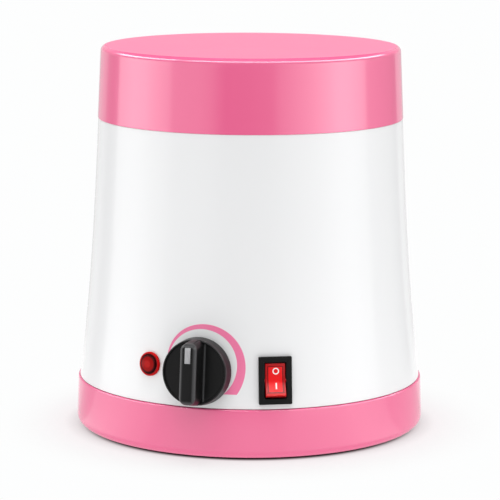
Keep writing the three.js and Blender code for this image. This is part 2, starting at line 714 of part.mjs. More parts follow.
function rivetSolid() {
  const seat = potTopZ + EAR_SHEET;
  const tail = potTopZ - POT_SHEET;
  return solid(turned([
    [0, tail - RIVET_HEAD_H],
    [RIVET_HEAD_R, tail - RIVET_HEAD_H, RIVET_HEAD_H / 2],
    [RIVET_HEAD_R, tail],
    [RIVET_SHANK_R, tail],
    [RIVET_SHANK_R, seat],
    [RIVET_HEAD_R, seat],
    [RIVET_HEAD_R, seat + RIVET_HEAD_H, RIVET_HEAD_H / 2],
    [0, seat + RIVET_HEAD_H],
  ], SMALL_FACETS, COARSE_STEPS));
}

const bailR = earX + EAR_SHEET + BAIL_OUTSIDE;
const bailEndX = earX - GAP - BAIL_HEAD_H;

// The bail lies in its own XY plane, hinged on X, with its bow towards +Y.
function bailSolid() {
  const bendTurn = BAIL_BEND / bailR;
  const bow = Array.from({ length: ROUND_FACETS + 1 }, (_, k) => {
    const turn = bendTurn + ((Math.PI - 2 * bendTurn) * k) / ROUND_FACETS;
    return new THREE.Vector3(bailR * Math.cos(turn), bailR * Math.sin(turn), 0);
  });
  const hook = (side) => [
    new THREE.Vector3(side * bailEndX, 0, 0),
    new THREE.Vector3(side * (bailR - BAIL_BEND), 0, 0),
    new THREE.Vector3(side * (bailR - BAIL_BEND / 4), BAIL_BEND / 4, 0),
  ];
  const path = [...hook(1), ...bow, ...hook(-1).reverse()];
  const heads = [-1, 1].map((side) =>
    rod(BAIL_HEAD_R, -BAIL_HEAD_H / 2, BAIL_HEAD_H / 2, SMALL_FACETS)
      .rotateY(Math.PI / 2)
      .translate(side * (bailEndX + BAIL_HEAD_H / 2), 0, 0),
  );
  return joined([tube(path, BAIL_WIRE_R, BAIL_STEPS, SMALL_FACETS / 2), ...heads]);
}

const bandBoreR = wellR + BAND_FIT;
const bandR = bandBoreR + BAND_THICKNESS;
const clampZ = bandZ + BAND_WIDTH / 2;
const clampScrewY = bandR + CLAMP_REACH / 2;
const clampX = BAND_SLIT / 2 + CLAMP_SHEET;

function heaterBandSolid() {
  const ring = turned([
    [bandBoreR, bandZ], [bandR, bandZ], [bandR, bandTopZ], [bandBoreR, bandTopZ],
  ], CUP_FACETS);
  const reach = CLAMP_REACH + BAND_THICKNESS / 2;
  const clamps = [-1, 1].map((side) =>
    block(CLAMP_SHEET, reach, clampZ - CLAMP_WIDTH / 2, clampZ + CLAMP_WIDTH / 2)
      .translate(side * (clampX - CLAMP_SHEET / 2), bandR + CLAMP_REACH - reach / 2, 0),
  );
  const slit = block(BAND_SLIT, 2 * (BAND_THICKNESS + OVERRUN), bandZ - OVERRUN, bandTopZ + OVERRUN);
  const hole = rod(CLAMP_SCREW.shankR + GAP, -clampX - OVERRUN, clampX + OVERRUN, SMALL_FACETS);
  return cut(joined([ring, ...clamps]), [
    slit.translate(0, bandR, 0),
    hole.rotateY(Math.PI / 2).translate(0, clampScrewY, clampZ),
  ]);
}

const dialSeatH = -HOUSING_WALL + SPOT_DEPTH - FIT;
const thermostatH = dialSeatH - THERMOSTAT_SETBACK;
const thermostatBackH = thermostatH - THERMOSTAT_DEPTH;

function thermostatSolid() {
  const corners = rectangle(THERMOSTAT_WIDTH, THERMOSTAT_HEIGHT, THERMOSTAT_ROUND);
  const blades = [-1, 1].map((side) =>
    block(BLADE_SHEET, BLADE_WIDTH, thermostatBackH - BLADE_LENGTH, thermostatBackH + BLADE_SHEET)
      .translate((side * THERMOSTAT_WIDTH) / 4, -THERMOSTAT_HEIGHT / 4, 0),
  );
  return cut(joined([
    pulled(corners, thermostatBackH, thermostatH, COARSE_STEPS),
    rod(COLLAR_R, thermostatH - BLADE_SHEET, dialSeatH),
    rod(BUSHING_R, dialSeatH - BLADE_SHEET, BUSHING_PROUD),
    ...blades,
  ]), [rod(SHAFT_R + GAP, thermostatH, BUSHING_PROUD + OVERRUN)]);
}

// A shaft with a flat on its -Y side above a height.
function flatted(radius, from, to, flatFrom) {
  const shaft = solid(rod(radius, from, to));
  const flat = block(2 * radius, 2 * radius, flatFrom, to + OVERRUN);
  return cut(shaft, [flat.translate(0, SHAFT_FLAT - 2 * radius, 0)]);
}

const knobFaceH = KNOB_LIFT + KNOB_DISC_H;
const knobFloorH = knobFaceH - KNOB_RECESS;
const barTopH = knobFloorH + BAR_H;
const shaftTopH = knobFloorH - KNOB_FACE_WALL + SHAFT_IN_KNOB;

// The grip bar: a rounded block that narrows towards its front.
function barGeometry() {
  const front = rectangle(BAR_FRONT_WIDTH, BAR_FRONT_LENGTH, BAR_CORNER);
  const widening = (BAR_BASE_WIDTH - BAR_FRONT_WIDTH) / BAR_FRONT_WIDTH;
  const lengthening = (BAR_BASE_LENGTH - BAR_FRONT_LENGTH) / BAR_FRONT_LENGTH;
  const bar = new THREE.ExtrudeGeometry(new THREE.Shape(outline(front)), {
    depth: BAR_H,
    bevelThickness: BAR_EDGE,
    bevelSize: BAR_EDGE,
    bevelOffset: -BAR_EDGE,
    bevelSegments: 2,
  }).translate(0, 0, barTopH - BAR_H - BAR_EDGE);
  const places = bar.getAttribute("position");
  for (let i = 0; i < places.count; i++) {
    const drop = (barTopH - places.getZ(i)) / BAR_H;
    places.setX(i, places.getX(i) * (1 + widening * drop));
    places.setY(i, places.getY(i) * (1 + lengthening * drop));
  }
  return bar;
}

function knobSolid() {
  const slope = (KNOB_BACK_R - KNOB_FACE_R) / KNOB_DISC_H;
  const disc = turned([
    [0, knobFloorH - KNOB_FACE_WALL],
    [KNOB_HOLLOW_R, knobFloorH - KNOB_FACE_WALL],
    [KNOB_HOLLOW_R, KNOB_LIFT],
    [KNOB_BACK_R, KNOB_LIFT, KNOB_EDGE_ROUND],
    [KNOB_FACE_R, knobFaceH, KNOB_EDGE_ROUND],
    [KNOB_FACE_R - KNOB_RIM, knobFaceH],
    [KNOB_FACE_R - KNOB_RIM, knobFloorH],
    [0, knobFloorH],
  ], KNOB_FACETS, COARSE_STEPS);
  const within = turned([
    [0, knobFloorH - KNOB_FACE_WALL],
    [KNOB_FACE_R + slope * KNOB_RECESS, knobFloorH - KNOB_FACE_WALL],
    [KNOB_FACE_R - slope * BAR_H, barTopH + OVERRUN],
    [0, barTopH + OVERRUN],
  ], KNOB_FACETS);
  const bar = solid(barGeometry()).intersect(solid(within));
  const hub = rod(KNOB_HUB_R, knobFloorH - KNOB_FACE_WALL - KNOB_HUB_H, knobFloorH);
  const pocket = block(
    MARK_WIDTH + 2 * FIT, MARK_LENGTH + 2 * FIT, barTopH - MARK_DEPTH, barTopH + OVERRUN,
  ).translate(0, MARK_BASE + MARK_LENGTH / 2, 0);
  const bore = flatted(SHAFT_R + FIT, KNOB_LIFT, shaftTopH + FIT, KNOB_LIFT);
  return cut(solid(disc).add(bar).add(solid(hub)), [pocket]).subtract(bore);
}

function lensSolid() {
  const bore = LENS_BARREL_R - LENS_WALL;
  return solid(turned([
    [bore, -LENS_DEPTH],
    [LENS_BARREL_R, -LENS_DEPTH],
    [LENS_BARREL_R, FIT],
    [LENS_FLANGE_R, FIT],
    [LENS_FLANGE_R, LENS_FLANGE_H, LENS_FLANGE_H / 3],
    [LENS_DOME_R, LENS_FLANGE_H],
    [LENS_DOME_R, LENS_PROUD, LENS_DOME_ROUND],
    [0, LENS_PROUD],
    [0, LENS_FLANGE_H],
    [bore, LENS_FLANGE_H],
  ], ROUND_FACETS, COARSE_STEPS));
}

const lampBackH = -LENS_DEPTH - LAMP_BODY_LENGTH;

function lampBodySolid() {
  const radius = LENS_BARREL_R - LENS_WALL - FIT;
  const seat = -LENS_DEPTH - FIT;
  return solid(turned([
    [0, lampBackH],
    [LENS_BARREL_R, lampBackH, LENS_WALL],
    [LENS_BARREL_R, seat],
    [radius, seat],
    [radius, -LENS_FLANGE_H, radius / 2],
    [0, -LENS_FLANGE_H],
  ], SMALL_FACETS, COARSE_STEPS));
}

// A spring ring behind the panel, split on one side.
function lampClipSolid() {
  const ring = turned([
    [LENS_BARREL_R + FIT, dialSeatH - LAMP_CLIP_H],
    [LAMP_CLIP_R, dialSeatH - LAMP_CLIP_H],
    [LAMP_CLIP_R, dialSeatH],
    [LENS_BARREL_R + FIT, dialSeatH],
  ]);
  const slit = block(LAMP_CLIP_H, LAMP_CLIP_R, dialSeatH - OVERRUN, dialSeatH + OVERRUN);
  return cut(solid(ring), [slit.translate(0, -LAMP_CLIP_R / 2 - LAMP_CLIP_H, 0)]);
}

const switchWidth = BEZEL_WIDTH - 2 * BEZEL_LIP;
const switchHeight = BEZEL_HEIGHT - 2 * BEZEL_LIP;
const rockerR = ROCKER_LENGTH / 2;

function switchBodySolid() {
  const tabs = [-1, 1].map((side) => {
    const y = (side * switchHeight) / 2;
    const top = -HOUSING_WALL - GAP;
    return pulled([[top, y], [top, y + side * SWITCH_TAB], [top - SWITCH_TAB_H, y]],
      -SWITCH_TAB_WIDTH / 2, SWITCH_TAB_WIDTH / 2).rotateY(-Math.PI / 2);
  });
  const hollow = block(
    ROCKER_WIDTH + 2 * GAP, ROCKER_LENGTH + 2 * GAP, -ROCKER_DEPTH - 2 * GAP, BEZEL_H + OVERRUN,
  );
  const pins = ROCKER_WIDTH / 2 + ROCKER_PIN_L + GAP;
  return cut(joined([
    block(switchWidth, switchHeight, -SWITCH_DEPTH, BEZEL_H / 2),
    block(BEZEL_WIDTH, BEZEL_HEIGHT, FIT, BEZEL_H),
    ...tabs,
  ]), [hollow, rod(ROCKER_PIN_R + FIT, -pins, pins, SMALL_FACETS).rotateY(Math.PI / 2)]);
}

// The rocker about its own pivot, which lies along X. Its ends are arcs about the pivot.
function rockerSolid() {
  const arc = (fromH, toH, side) => Array.from({ length: ROUND_STEPS + 1 }, (_, k) => {
    const h = fromH + ((toH - fromH) * k) / ROUND_STEPS;
    return [side * Math.sqrt(rockerR ** 2 - h ** 2), h];
  });
  const sideways = pulled([
    ...arc(-ROCKER_HEEL_H, ROCKER_END_H, 1),
    [0, ROCKER_DIP],
    ...arc(ROCKER_END_H, -ROCKER_HEEL_H, -1),
    [-ROCKER_HEEL_WIDTH / 2, -ROCKER_DEPTH],
    [ROCKER_HEEL_WIDTH / 2, -ROCKER_DEPTH],
  ], -ROCKER_WIDTH / 2, ROCKER_WIDTH / 2);
  const pins = ROCKER_WIDTH / 2 + ROCKER_PIN_L;
  return joined([
    sideways.rotateX(Math.PI / 2).rotateZ(Math.PI / 2),
    rod(ROCKER_PIN_R, -pins, pins, SMALL_FACETS).rotateY(Math.PI / 2),
  ]);
}

function bladeSolid() {
  const blade = block(BLADE_WIDTH, BLADE_SHEET, -BLADE_LENGTH, 0);
  const hole = rod(BLADE_HOLE_R, -BLADE_SHEET, BLADE_SHEET, SMALL_FACETS).rotateX(Math.PI / 2);
  return cut(solid(blade), [hole.translate(0, 0, -BLADE_LENGTH / 2)]);
}

function fuseSolid() {
  const half = FUSE_LENGTH / 2;
  return solid(turned([
    [0, -half - FUSE_LEAD],
    [FUSE_LEAD_R, -half - FUSE_LEAD],
    [FUSE_LEAD_R, -half],
    [FUSE_R, -half, FUSE_LEAD_R],
    [FUSE_R, half, FUSE_LEAD_R],
    [FUSE_LEAD_R, half],
    [FUSE_LEAD_R, half + FUSE_LEAD],
    [0, half + FUSE_LEAD],
  ], SMALL_FACETS, COARSE_STEPS));
}

const poleX = POLE_PITCH / 2;

// Two poles, each a bore from front to back with a screw hole over it, and a well for the fixing screw.
function terminalBlockSolid() {
  const bores = [-poleX, poleX].flatMap((x) => [
    rod(POLE_BORE_R, -BLOCK_DEPTH, BLOCK_DEPTH, SMALL_FACETS).rotateX(Math.PI / 2)
      .translate(x, 0, POLE_H),
    rod(POLE_SCREW_R, POLE_H, BLOCK_H + OVERRUN, SMALL_FACETS).translate(x, 0, 0),
  ]);
  return cut(solid(pulled(rectangle(BLOCK_WIDTH, BLOCK_DEPTH, BLOCK_EDGE), 0, BLOCK_H, 1)), [
    ...bores,
    rod(BLOCK_SCREW.headR + GAP, BLOCK_SCREW_SEAT_H, BLOCK_H + OVERRUN),
    rod(BLOCK_SCREW.shankR + FIT, -OVERRUN, BLOCK_H, SMALL_FACETS),
  ]);
}

const machine = new THREE.Group();
machine.add(dial, lamp, power, gland);

add(machine, "lid", lidSolid(), PINK);
add(machine, "housing", housingSolid(), WHITE);
add(machine, "base_tray", baseTraySolid(), PINK);

FOOT_AZIMUTHS.forEach((azimuth, k) => {
  add(machine, "foot_" + (k + 1), footSolid(), RUBBER).position.copy(around(FOOT_CIRCLE_R, azimuth));
});

BASE_SCREW_AZIMUTHS.forEach((azimuth, k) => {
  const fastener = add(machine, "base_screw_" + (k + 1), screw(BASE_SCREW), STEEL);
  fastener.position.copy(around(postCircleR, azimuth, FOOT_PROUD + COUNTERBORE));
  fastener.rotation.x = Math.PI;
});

add(machine, "well", wellSolid(), ALUMINIUM);
WELL_SCREW_AZIMUTHS.forEach((azimuth, k) => {
  const fastener = add(machine, "well_screw_" + (k + 1), screw(WELL_SCREW), STEEL);
  fastener.position.copy(around(wellScrewR, azimuth, wellTopZ));
});

add(machine, "pot", potSolid(), ALUMINIUM);
["right", "left"].forEach((side, k) => {
  const turn = Math.PI * k;
  add(machine, "ear_" + side, earSolid(), STEEL).rotation.z = turn;
  add(machine, "ear_rivet_" + side, rivetSolid(), STEEL).position.x = k ? -rivetX : rivetX;
});

const bail = add(machine, "bail", bailSolid(), STEEL);
bail.position.z = pivotZ;
bail.rotation.x = -Math.asin((PIVOT_H - BAIL_WIRE_R - GAP) / bailR);

add(machine, "heater_band", heaterBandSolid(), MICA);
const clampScrew = add(machine, "clamp_screw", screw(CLAMP_SCREW), STEEL);
clampScrew.position.set(clampX + FIT, clampScrewY, clampZ);
clampScrew.rotation.y = Math.PI / 2;
const clampNut = nut(CLAMP_NUT_R, CLAMP_NUT_H, CLAMP_SCREW.shankR + FIT);
const clampNutMesh = add(machine, "clamp_nut", clampNut, STEEL);
clampNutMesh.position.set(-clampX - FIT, clampScrewY, clampZ);
clampNutMesh.rotation.y = -Math.PI / 2;

add(dial, "thermostat_body", thermostatSolid(), PHENOLIC);
const dialNut = nut(DIAL_NUT_R, DIAL_NUT_H, BUSHING_R + FIT);
add(dial, "thermostat_nut", dialNut, BRASS).position.z = FIT;
const shaftFootH = thermostatH + FIT;
add(dial, "thermostat_shaft", flatted(SHAFT_R, shaftFootH, shaftTopH, BUSHING_PROUD), STEEL);
add(dial, "knob", knobSolid(), BLACK);
const mark = solid(block(MARK_WIDTH, MARK_LENGTH, barTopH - MARK_DEPTH + FIT, barTopH + FIT / 2));
add(dial, "knob_pointer", mark, SILVER_PAINT).position.y = MARK_BASE + MARK_LENGTH / 2;

add(lamp, "lamp_lens", lensSolid(), RED_LENS);
add(lamp, "lamp_body", lampBodySolid(), NYLON);
add(lamp, "lamp_clip", lampClipSolid(), STEEL);

add(power, "switch_body", switchBodySolid(), MATT_BLACK);
const rocker = add(power, "switch_rocker", rockerSolid(), RED_LENS);
rocker.rotation.x = -THREE.MathUtils.degToRad(ROCKER_SWING / 2);
const bladeH = -SWITCH_DEPTH - FIT;
["line", "load", "lamp"].forEach((use, k) => {
  const blade = add(power, "switch_terminal_" + use, bladeSolid(), BRASS);
  blade.position.set(0, BLADE_PITCH * (1 - k), bladeH);
});

add(gland, "cord_gland", glandSolid(), RUBBER);
const glandNut = nut(GLAND_NUT_R, GLAND_NUT_H, GLAND_BARREL_R + FIT);
add(gland, "gland_nut", glandNut, MATT_BLACK).position.z = -GLAND_SEAT_WALL - GLAND_NUT_H - FIT;

// The fuse lies under the well, along X, in a strap.
const fuseFrame = frameAt(
  new THREE.Vector3(0, FUSE_BACK, wellFootZ - FIT),
  new THREE.Vector3(1, 0, 0),
);
machine.add(fuseFrame);
add(fuseFrame, "thermal_fuse", fuseSolid(), COPPER).position.y = -FUSE_R;
add(fuseFrame, "fuse_clip", strap(FUSE_R), STEEL).rotation.z = Math.PI;

const terminalBlock = add(machine, "terminal_block", terminalBlockSolid(), NYLON);
terminalBlock.position.set(0, BLOCK_BACK, trayFloorZ);
const blockScrew = add(machine, "block_screw", screw(BLOCK_SCREW), STEEL);
blockScrew.position.set(0, BLOCK_BACK, trayFloorZ + BLOCK_SCREW_SEAT_H);

// The bulb stands against the well, between the heater band and the deck.
const bulbFootZ = bandTopZ + BULB_RISE;
const bulbLength = deckZ - HOUSING_WALL - BULB_HEADROOM - bulbFootZ;
const bulbFrame = frameAt(around(wellR, BULB_AZIMUTH, bulbFootZ), around(1, BULB_AZIMUTH));
machine.add(bulbFrame);

// A point and a direction on a frame, in the machine's own frame.
const spot = (frame, x, y, z) => new THREE.Vector3(x, y, z).applyMatrix4(frame.matrix);
const facing = (frame, x, y, z) => new THREE.Vector3(x, y, z).applyQuaternion(frame.quaternion);

// A place of a route's middle.
function inside([radiusShare, azimuth, heightShare]) {
  const z = trayFloorZ + (wellFootZ - trayFloorZ) * heightShare;
  return around(skirtBoreR * radiusShare, azimuth, z);
}

// A route from one end to another. Each end is a place and the direction in which the wire leaves it.
const leave = ({ at, out }) => at.clone().addScaledVector(out, WIRE_LEAD);

function route(name, start, end) {
  return [start.at, leave(start), ...ROUTE_SHARES[name].map(inside), leave(end), end.at];
}

// Wires that share a terminal lie side by side.
const slotPitch = 2 * WIRE_R + GAP;
const down = new THREE.Vector3(0, 0, -1);
const inward = (frame) => facing(frame, 0, 0, -1);
const blade = (k) => ({
  at: spot(power, 0, BLADE_PITCH * (1 - k), bladeH - BLADE_LENGTH - GAP),
  out: inward(power),
});
const thermostatBlade = (side, slot = 0) => ({
  at: spot(
    dial,
    (side * THERMOSTAT_WIDTH) / 4,
    slot * slotPitch - THERMOSTAT_HEIGHT / 4,
    thermostatBackH - BLADE_LENGTH - GAP,
  ),
  out: inward(dial),
});
const lampLead = (side) => ({
  at: spot(lamp, (side * LENS_BARREL_R) / 2, 0, lampBackH - GAP),
  out: inward(lamp),
});
const poleEnd = (side, slot = 0) => ({
  at: new THREE.Vector3(
    side * poleX + slot * slotPitch,
    BLOCK_BACK - BLOCK_DEPTH / 2 - GAP,
    trayFloorZ + POLE_H,
  ),
  out: new THREE.Vector3(0, -1, 0),
});
const fuseEnd = (side) => ({
  at: spot(fuseFrame, 0, -FUSE_R, side * (FUSE_LENGTH / 2 + FUSE_LEAD + GAP)),
  out: facing(fuseFrame, 0, 0, side),
});
const heaterLead = (azimuth) => ({
  at: around((bandBoreR + bandR) / 2, azimuth, bandZ - GAP),
  out: down,
});

// The sensing bulb, with the capillary that runs down over the heater band to the thermostat.
function sensorBulbSolid() {
  const bulbAt = around(wellR + FIT + BULB_R, BULB_AZIMUTH, bulbFootZ);
  const bulb = rod(BULB_R, 0, bulbLength).translate(...bulbAt);
  const end = {
    at: spot(dial, 0, THERMOSTAT_HEIGHT / 4, thermostatBackH - GAP),
    out: inward(dial),
  };
  const clearR = bandR + 2 * CAPILLARY_R;
  const path = [
    bulbAt.clone().setZ(bulbFootZ + GAP),
    around(clearR, BULB_AZIMUTH, bandTopZ),
    around(clearR, BULB_AZIMUTH, bandZ),
    ...ROUTE_SHARES.sensor_bulb.map(inside),
    leave(end),
    end.at,
  ];
  return joined([bulb, tube(path, CAPILLARY_R, CAPILLARY_STEPS)]);
}

add(machine, "sensor_bulb", sensorBulbSolid(), COPPER);
const bulbClip = add(bulbFrame, "bulb_clip", strap(BULB_R), STEEL);
bulbClip.position.set(0, bulbLength / 2, GAP);
bulbClip.rotation.x = Math.PI / 2;

const heaterEnd = heaterLead(HEATER_LEAD_AZIMUTH);
const heaterStart = heaterLead(-HEATER_LEAD_AZIMUTH);
const WIRES = [
  ["wire_block_to_switch", BROWN_WIRE, poleEnd(-1), blade(0)],
  ["wire_switch_to_thermostat", BROWN_WIRE, blade(1), thermostatBlade(1)],
  ["wire_thermostat_to_fuse", RED_WIRE, thermostatBlade(-1, 1), fuseEnd(-1)],
  ["wire_fuse_to_heater", WHITE_WIRE, fuseEnd(1), heaterEnd],
  ["wire_heater_to_block", WHITE_WIRE, heaterStart, poleEnd(1)],
  ["wire_lamp_feed", RED_WIRE, lampLead(1), thermostatBlade(-1)],
  ["wire_lamp_to_block", BLUE_WIRE, lampLead(-1), poleEnd(1, -1)],
  ["wire_switch_to_block", BLUE_WIRE, blade(2), poleEnd(1, 1)],
];
for (const [name, look, start, end] of WIRES) {
  add(machine, name, solid(tube(route(name, start, end), WIRE_R, WIRE_STEPS)), look);
}

export default machine;
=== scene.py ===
import math

import bmesh
import bpy
from mathutils import Matrix, Vector


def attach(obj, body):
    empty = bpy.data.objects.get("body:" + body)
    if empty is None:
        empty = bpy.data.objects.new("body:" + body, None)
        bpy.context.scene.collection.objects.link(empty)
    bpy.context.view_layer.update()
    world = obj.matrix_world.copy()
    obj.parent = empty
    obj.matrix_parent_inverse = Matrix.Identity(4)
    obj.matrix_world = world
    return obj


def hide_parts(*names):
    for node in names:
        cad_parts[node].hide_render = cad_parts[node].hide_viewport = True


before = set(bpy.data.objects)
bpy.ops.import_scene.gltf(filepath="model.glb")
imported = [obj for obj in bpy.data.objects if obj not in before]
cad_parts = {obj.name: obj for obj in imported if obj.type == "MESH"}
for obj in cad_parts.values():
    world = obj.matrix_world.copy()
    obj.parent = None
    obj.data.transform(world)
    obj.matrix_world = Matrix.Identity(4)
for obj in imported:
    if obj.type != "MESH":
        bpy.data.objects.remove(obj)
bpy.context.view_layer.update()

# Sizes are in millimetres and turns in degrees, until a piece is finished in metres. The pot's axis is Z,
# the controls face -Y, and an azimuth is counted from the front towards the viewer's right.
MM = 0.001
OVERRUN = 2

# The case: a barrel that flares from its shoulder to the base ring, under a lid.
SHOULDER_Z = 146.8
BODY_H = 122.8
BODY_TOP_R = 71.75
STRAIGHT_FLARE = 5.53
CURVED_FLARE = 3.66
FLARE_POWER = 2.84
RING_TOP_Z = 24.0
LID_TOP_Z = 180.6
DECK_Z = 160.0
WELL_TOP_Z = 161.2

# The pot's handle.
PIVOT_Z = 168.5
BAIL_R = 56.0
BAIL_WIRE_R = 1.5
RIVET_X = 54.8

# Where the screws and feet stand: the radius of their circle, and their azimuths.
BASE_SCREWS = (73.45, (-125, -70, 70, 125))
WELL_SCREWS = (62.2, (30, 150, 270))
FEET = (60.0, (-145, -35, 35, 145))

# The controls on the barrel: azimuth, and height above the base ring.
DIAL_PLACE = (-16.6, 16.4)
LAMP_PLACE = (-34.75, 17.3)
SWITCH_PLACE = (8.3, 12.9)
GLAND_CENTRE = (0, 82.35, 12.5)
POINTER_UP = 8.45

# The photograph's camera, in metres and radians, for a frame of PHOTO_PX square.
PHOTO_PX = 500
FOCAL_PX = 2561.6
SENSOR_WIDTH = 36
EYE = (0, -1.2026, 0.2874)
LOOK_DOWN = 0.1685
ROLL = 0.0042


def around(radius, azimuth, z=0.0):
    """A point at a radius and an azimuth from the pot's axis."""
    turn = math.radians(azimuth)
    return Vector((radius * math.sin(turn), -radius * math.cos(turn), z))


def places(circle, z=0.0):
    """The points of a circle of screws or feet, at a height."""
    radius, azimuths = circle
    return [around(radius, azimuth, z) for azimuth in azimuths]


def body_radius(z):
    """The barrel's outer radius at a height."""
    drop = (SHOULDER_Z - z) / BODY_H
    return BODY_TOP_R + STRAIGHT_FLARE * drop + CURVED_FLARE * drop ** FLARE_POWER


def frame_at(origin, out):
    """The matrix of a frame at a point, with Z along `out` and X level."""
    across = Vector((-out.y, out.x, 0)).normalized()
    turn = Matrix((across, out.cross(across), out)).transposed().to_4x4()
    return Matrix.Translation(origin) @ turn


def panel_frame(azimuth, rise):
    """A frame on the barrel's outer face, at a height above the base ring."""
    z, step = RING_TOP_Z + rise, 0.1
    lean = math.atan2(body_radius(z - step) - body_radius(z + step), 2 * step)
    return frame_at(around(body_radius(z), azimuth, z), around(math.cos(lean), azimuth, math.sin(lean)))


DIAL = panel_frame(*DIAL_PLACE)
LAMP = panel_frame(*LAMP_PLACE)
SWITCH = panel_frame(*SWITCH_PLACE)
GLAND = frame_at(Vector(GLAND_CENTRE), Vector((0, 1, 0)))


# Making shapes

def rounded(corners, steps=8):
    """The points of a closed outline by corners (x, y, radius). Without a radius it is sharp."""
    points = []
    for i, (x, y, *radius) in enumerate(corners):
        corner = Vector((x, y))
        if not radius:
            points.append(corner)
            continue
        back = (Vector(corners[i - 1][:2]) - corner).normalized()
        ahead = (Vector(corners[(i + 1) % len(corners)][:2]) - corner).normalized()
        half = back.angle(ahead) / 2
        reach = radius[0] / math.tan(half)
        middle = corner + (back + ahead).normalized() * (radius[0] / math.sin(half))
        first, last = corner + back * reach - middle, corner + ahead * reach - middle
        start = math.atan2(first.y, first.x)
        sweep = (math.atan2(last.y, last.x) - start + math.pi) % (2 * math.pi) - math.pi
        for k in range(steps + 1):
            turn = start + sweep * k / steps
            points.append(middle + radius[0] * Vector((math.cos(turn), math.sin(turn))))
    return points


def spaced(points, longest, margin=0.35, shortest=2.1):
    """Adds points to the long sides of an outline: one near each end, and the rest evenly."""
    made = []
    for i, point in enumerate(points):
        side = points[(i + 1) % len(points)] - point
        made.append(point)
        if side.length > shortest:
            inner = side.length - 2 * margin
            parts = max(1, math.ceil(inner / longest))
            for k in range(parts + 1):
                made.append(point + side.normalized() * (margin + inner * k / parts))
    return made


def added(name, data):
    """A new object of the scene, from its data."""
    made = bpy.data.objects.new(name, data)
    bpy.context.scene.collection.objects.link(made)
    return made


def piece_from(name, mesh):
    """A new piece from a bmesh, with its faces turned outwards."""
    bmesh.ops.remove_doubles(mesh, verts=mesh.verts, dist=1e-5)
    bmesh.ops.recalc_face_normals(mesh, faces=mesh.faces)
    data = bpy.data.meshes.new(name)
    mesh.to_mesh(data)
    mesh.free()
    return added(name, data)


def turned(name, corners, facets=96, steps=8, longest=1000.0):
    """A body turned about Z from a closed outline of (radius, z) corners."""
    mesh = bmesh.new()
    rings = []
    for radius, z in spaced(rounded(corners, steps), longest):
        count = facets if radius > 1e-6 else 1
        turns = [2 * math.pi * k / facets for k in range(count)]
        rings.append([mesh.verts.new((radius * math.cos(a), radius * math.sin(a), z)) for a in turns])
    for low, high in zip(rings, rings[1:] + rings[:1]):
        if len(low) == len(high) == 1:
            continue
        for k in range(facets):
            n = (k + 1) % facets
            corner = [low[k % len(low)], low[n % len(low)], high[n % len(high)], high[k % len(high)]]
            mesh.faces.new(dict.fromkeys(corner))
    return piece_from(name, mesh)


def lofted(name, loops):
    """A body from closed loops of points, one above another, with as many points each."""
    mesh = bmesh.new()
    rings = [[mesh.verts.new(point) for point in loop] for loop in loops]
    for low, high in zip(rings, rings[1:]):
        for k in range(len(low)):
            n = (k + 1) % len(low)
            mesh.faces.new((low[k], low[n], high[n], high[k]))
    mesh.faces.new(rings[0])
    mesh.faces.new(rings[-1])
    return piece_from(name, mesh)


def pulled(name, corners, start, end, steps=8):
    """An outline in X and Y, pulled along Z."""
    points = rounded(corners, steps)
    return lofted(name, [[(p.x, p.y, z) for p in points] for z in (start, end)])


def rectangle(width, height, *radius):
    x, y = width / 2, height / 2
    return [(x, y, *radius), (-x, y, *radius), (-x, -y, *radius), (x, -y, *radius)]


def rod(radius, start, end, facets=48):
    return turned("rod", [(0, start), (radius, start), (radius, end), (0, end)], facets)


def block(width, depth, start, end):
    return pulled("block", rectangle(width, depth), start, end)


def moved(piece, matrix):
    piece.data.transform(matrix)
    return piece


def shifted(piece, x, y, z=0.0):
    return moved(piece, Matrix.Translation((x, y, z)))


def on_side(piece):
    """The piece with its Z turned to X."""
    return moved(piece, Matrix.Rotation(math.pi / 2, 4, "Y"))


def rods(circle, radius, start, end):
    """A rod at each place of a circle of screws or feet."""
    return [shifted(rod(radius, start, end), *place.xy) for place in places(circle)]


def settle(piece):
    """Applies a piece's modifiers to its mesh."""
    bpy.context.view_layer.update()
    graph = bpy.context.evaluated_depsgraph_get()
    made = bpy.data.meshes.new_from_object(piece.evaluated_get(graph))
    piece.modifiers.clear()
    piece.data = made
    return piece


def combined(piece, others, operation):
    """Applies one boolean after another to a piece, and removes the pieces used."""
    for other in others:
        step = piece.modifiers.new("combine", "BOOLEAN")
        step.operation = operation
        step.solver = "MANIFOLD"
        step.object = other
    settle(piece)
    for other in others:
        bpy.data.objects.remove(other)
    return piece


def joined(piece, *others):
    """The piece with others added to it."""
    return combined(piece, others, "UNION")


def cut(piece, *tools):
    """The piece with the tools taken out of it."""
    return combined(piece, tools, "DIFFERENCE")


def softened(piece, width, segments=3, angle=30):
    """Rounds the sharp edges of a piece."""
    step = piece.modifiers.new("edges", "BEVEL")
    step.width = width
    step.segments = segments
    step.limit_method = "ANGLE"
    step.angle_limit = math.radians(angle)
    return settle(piece)


# Materials

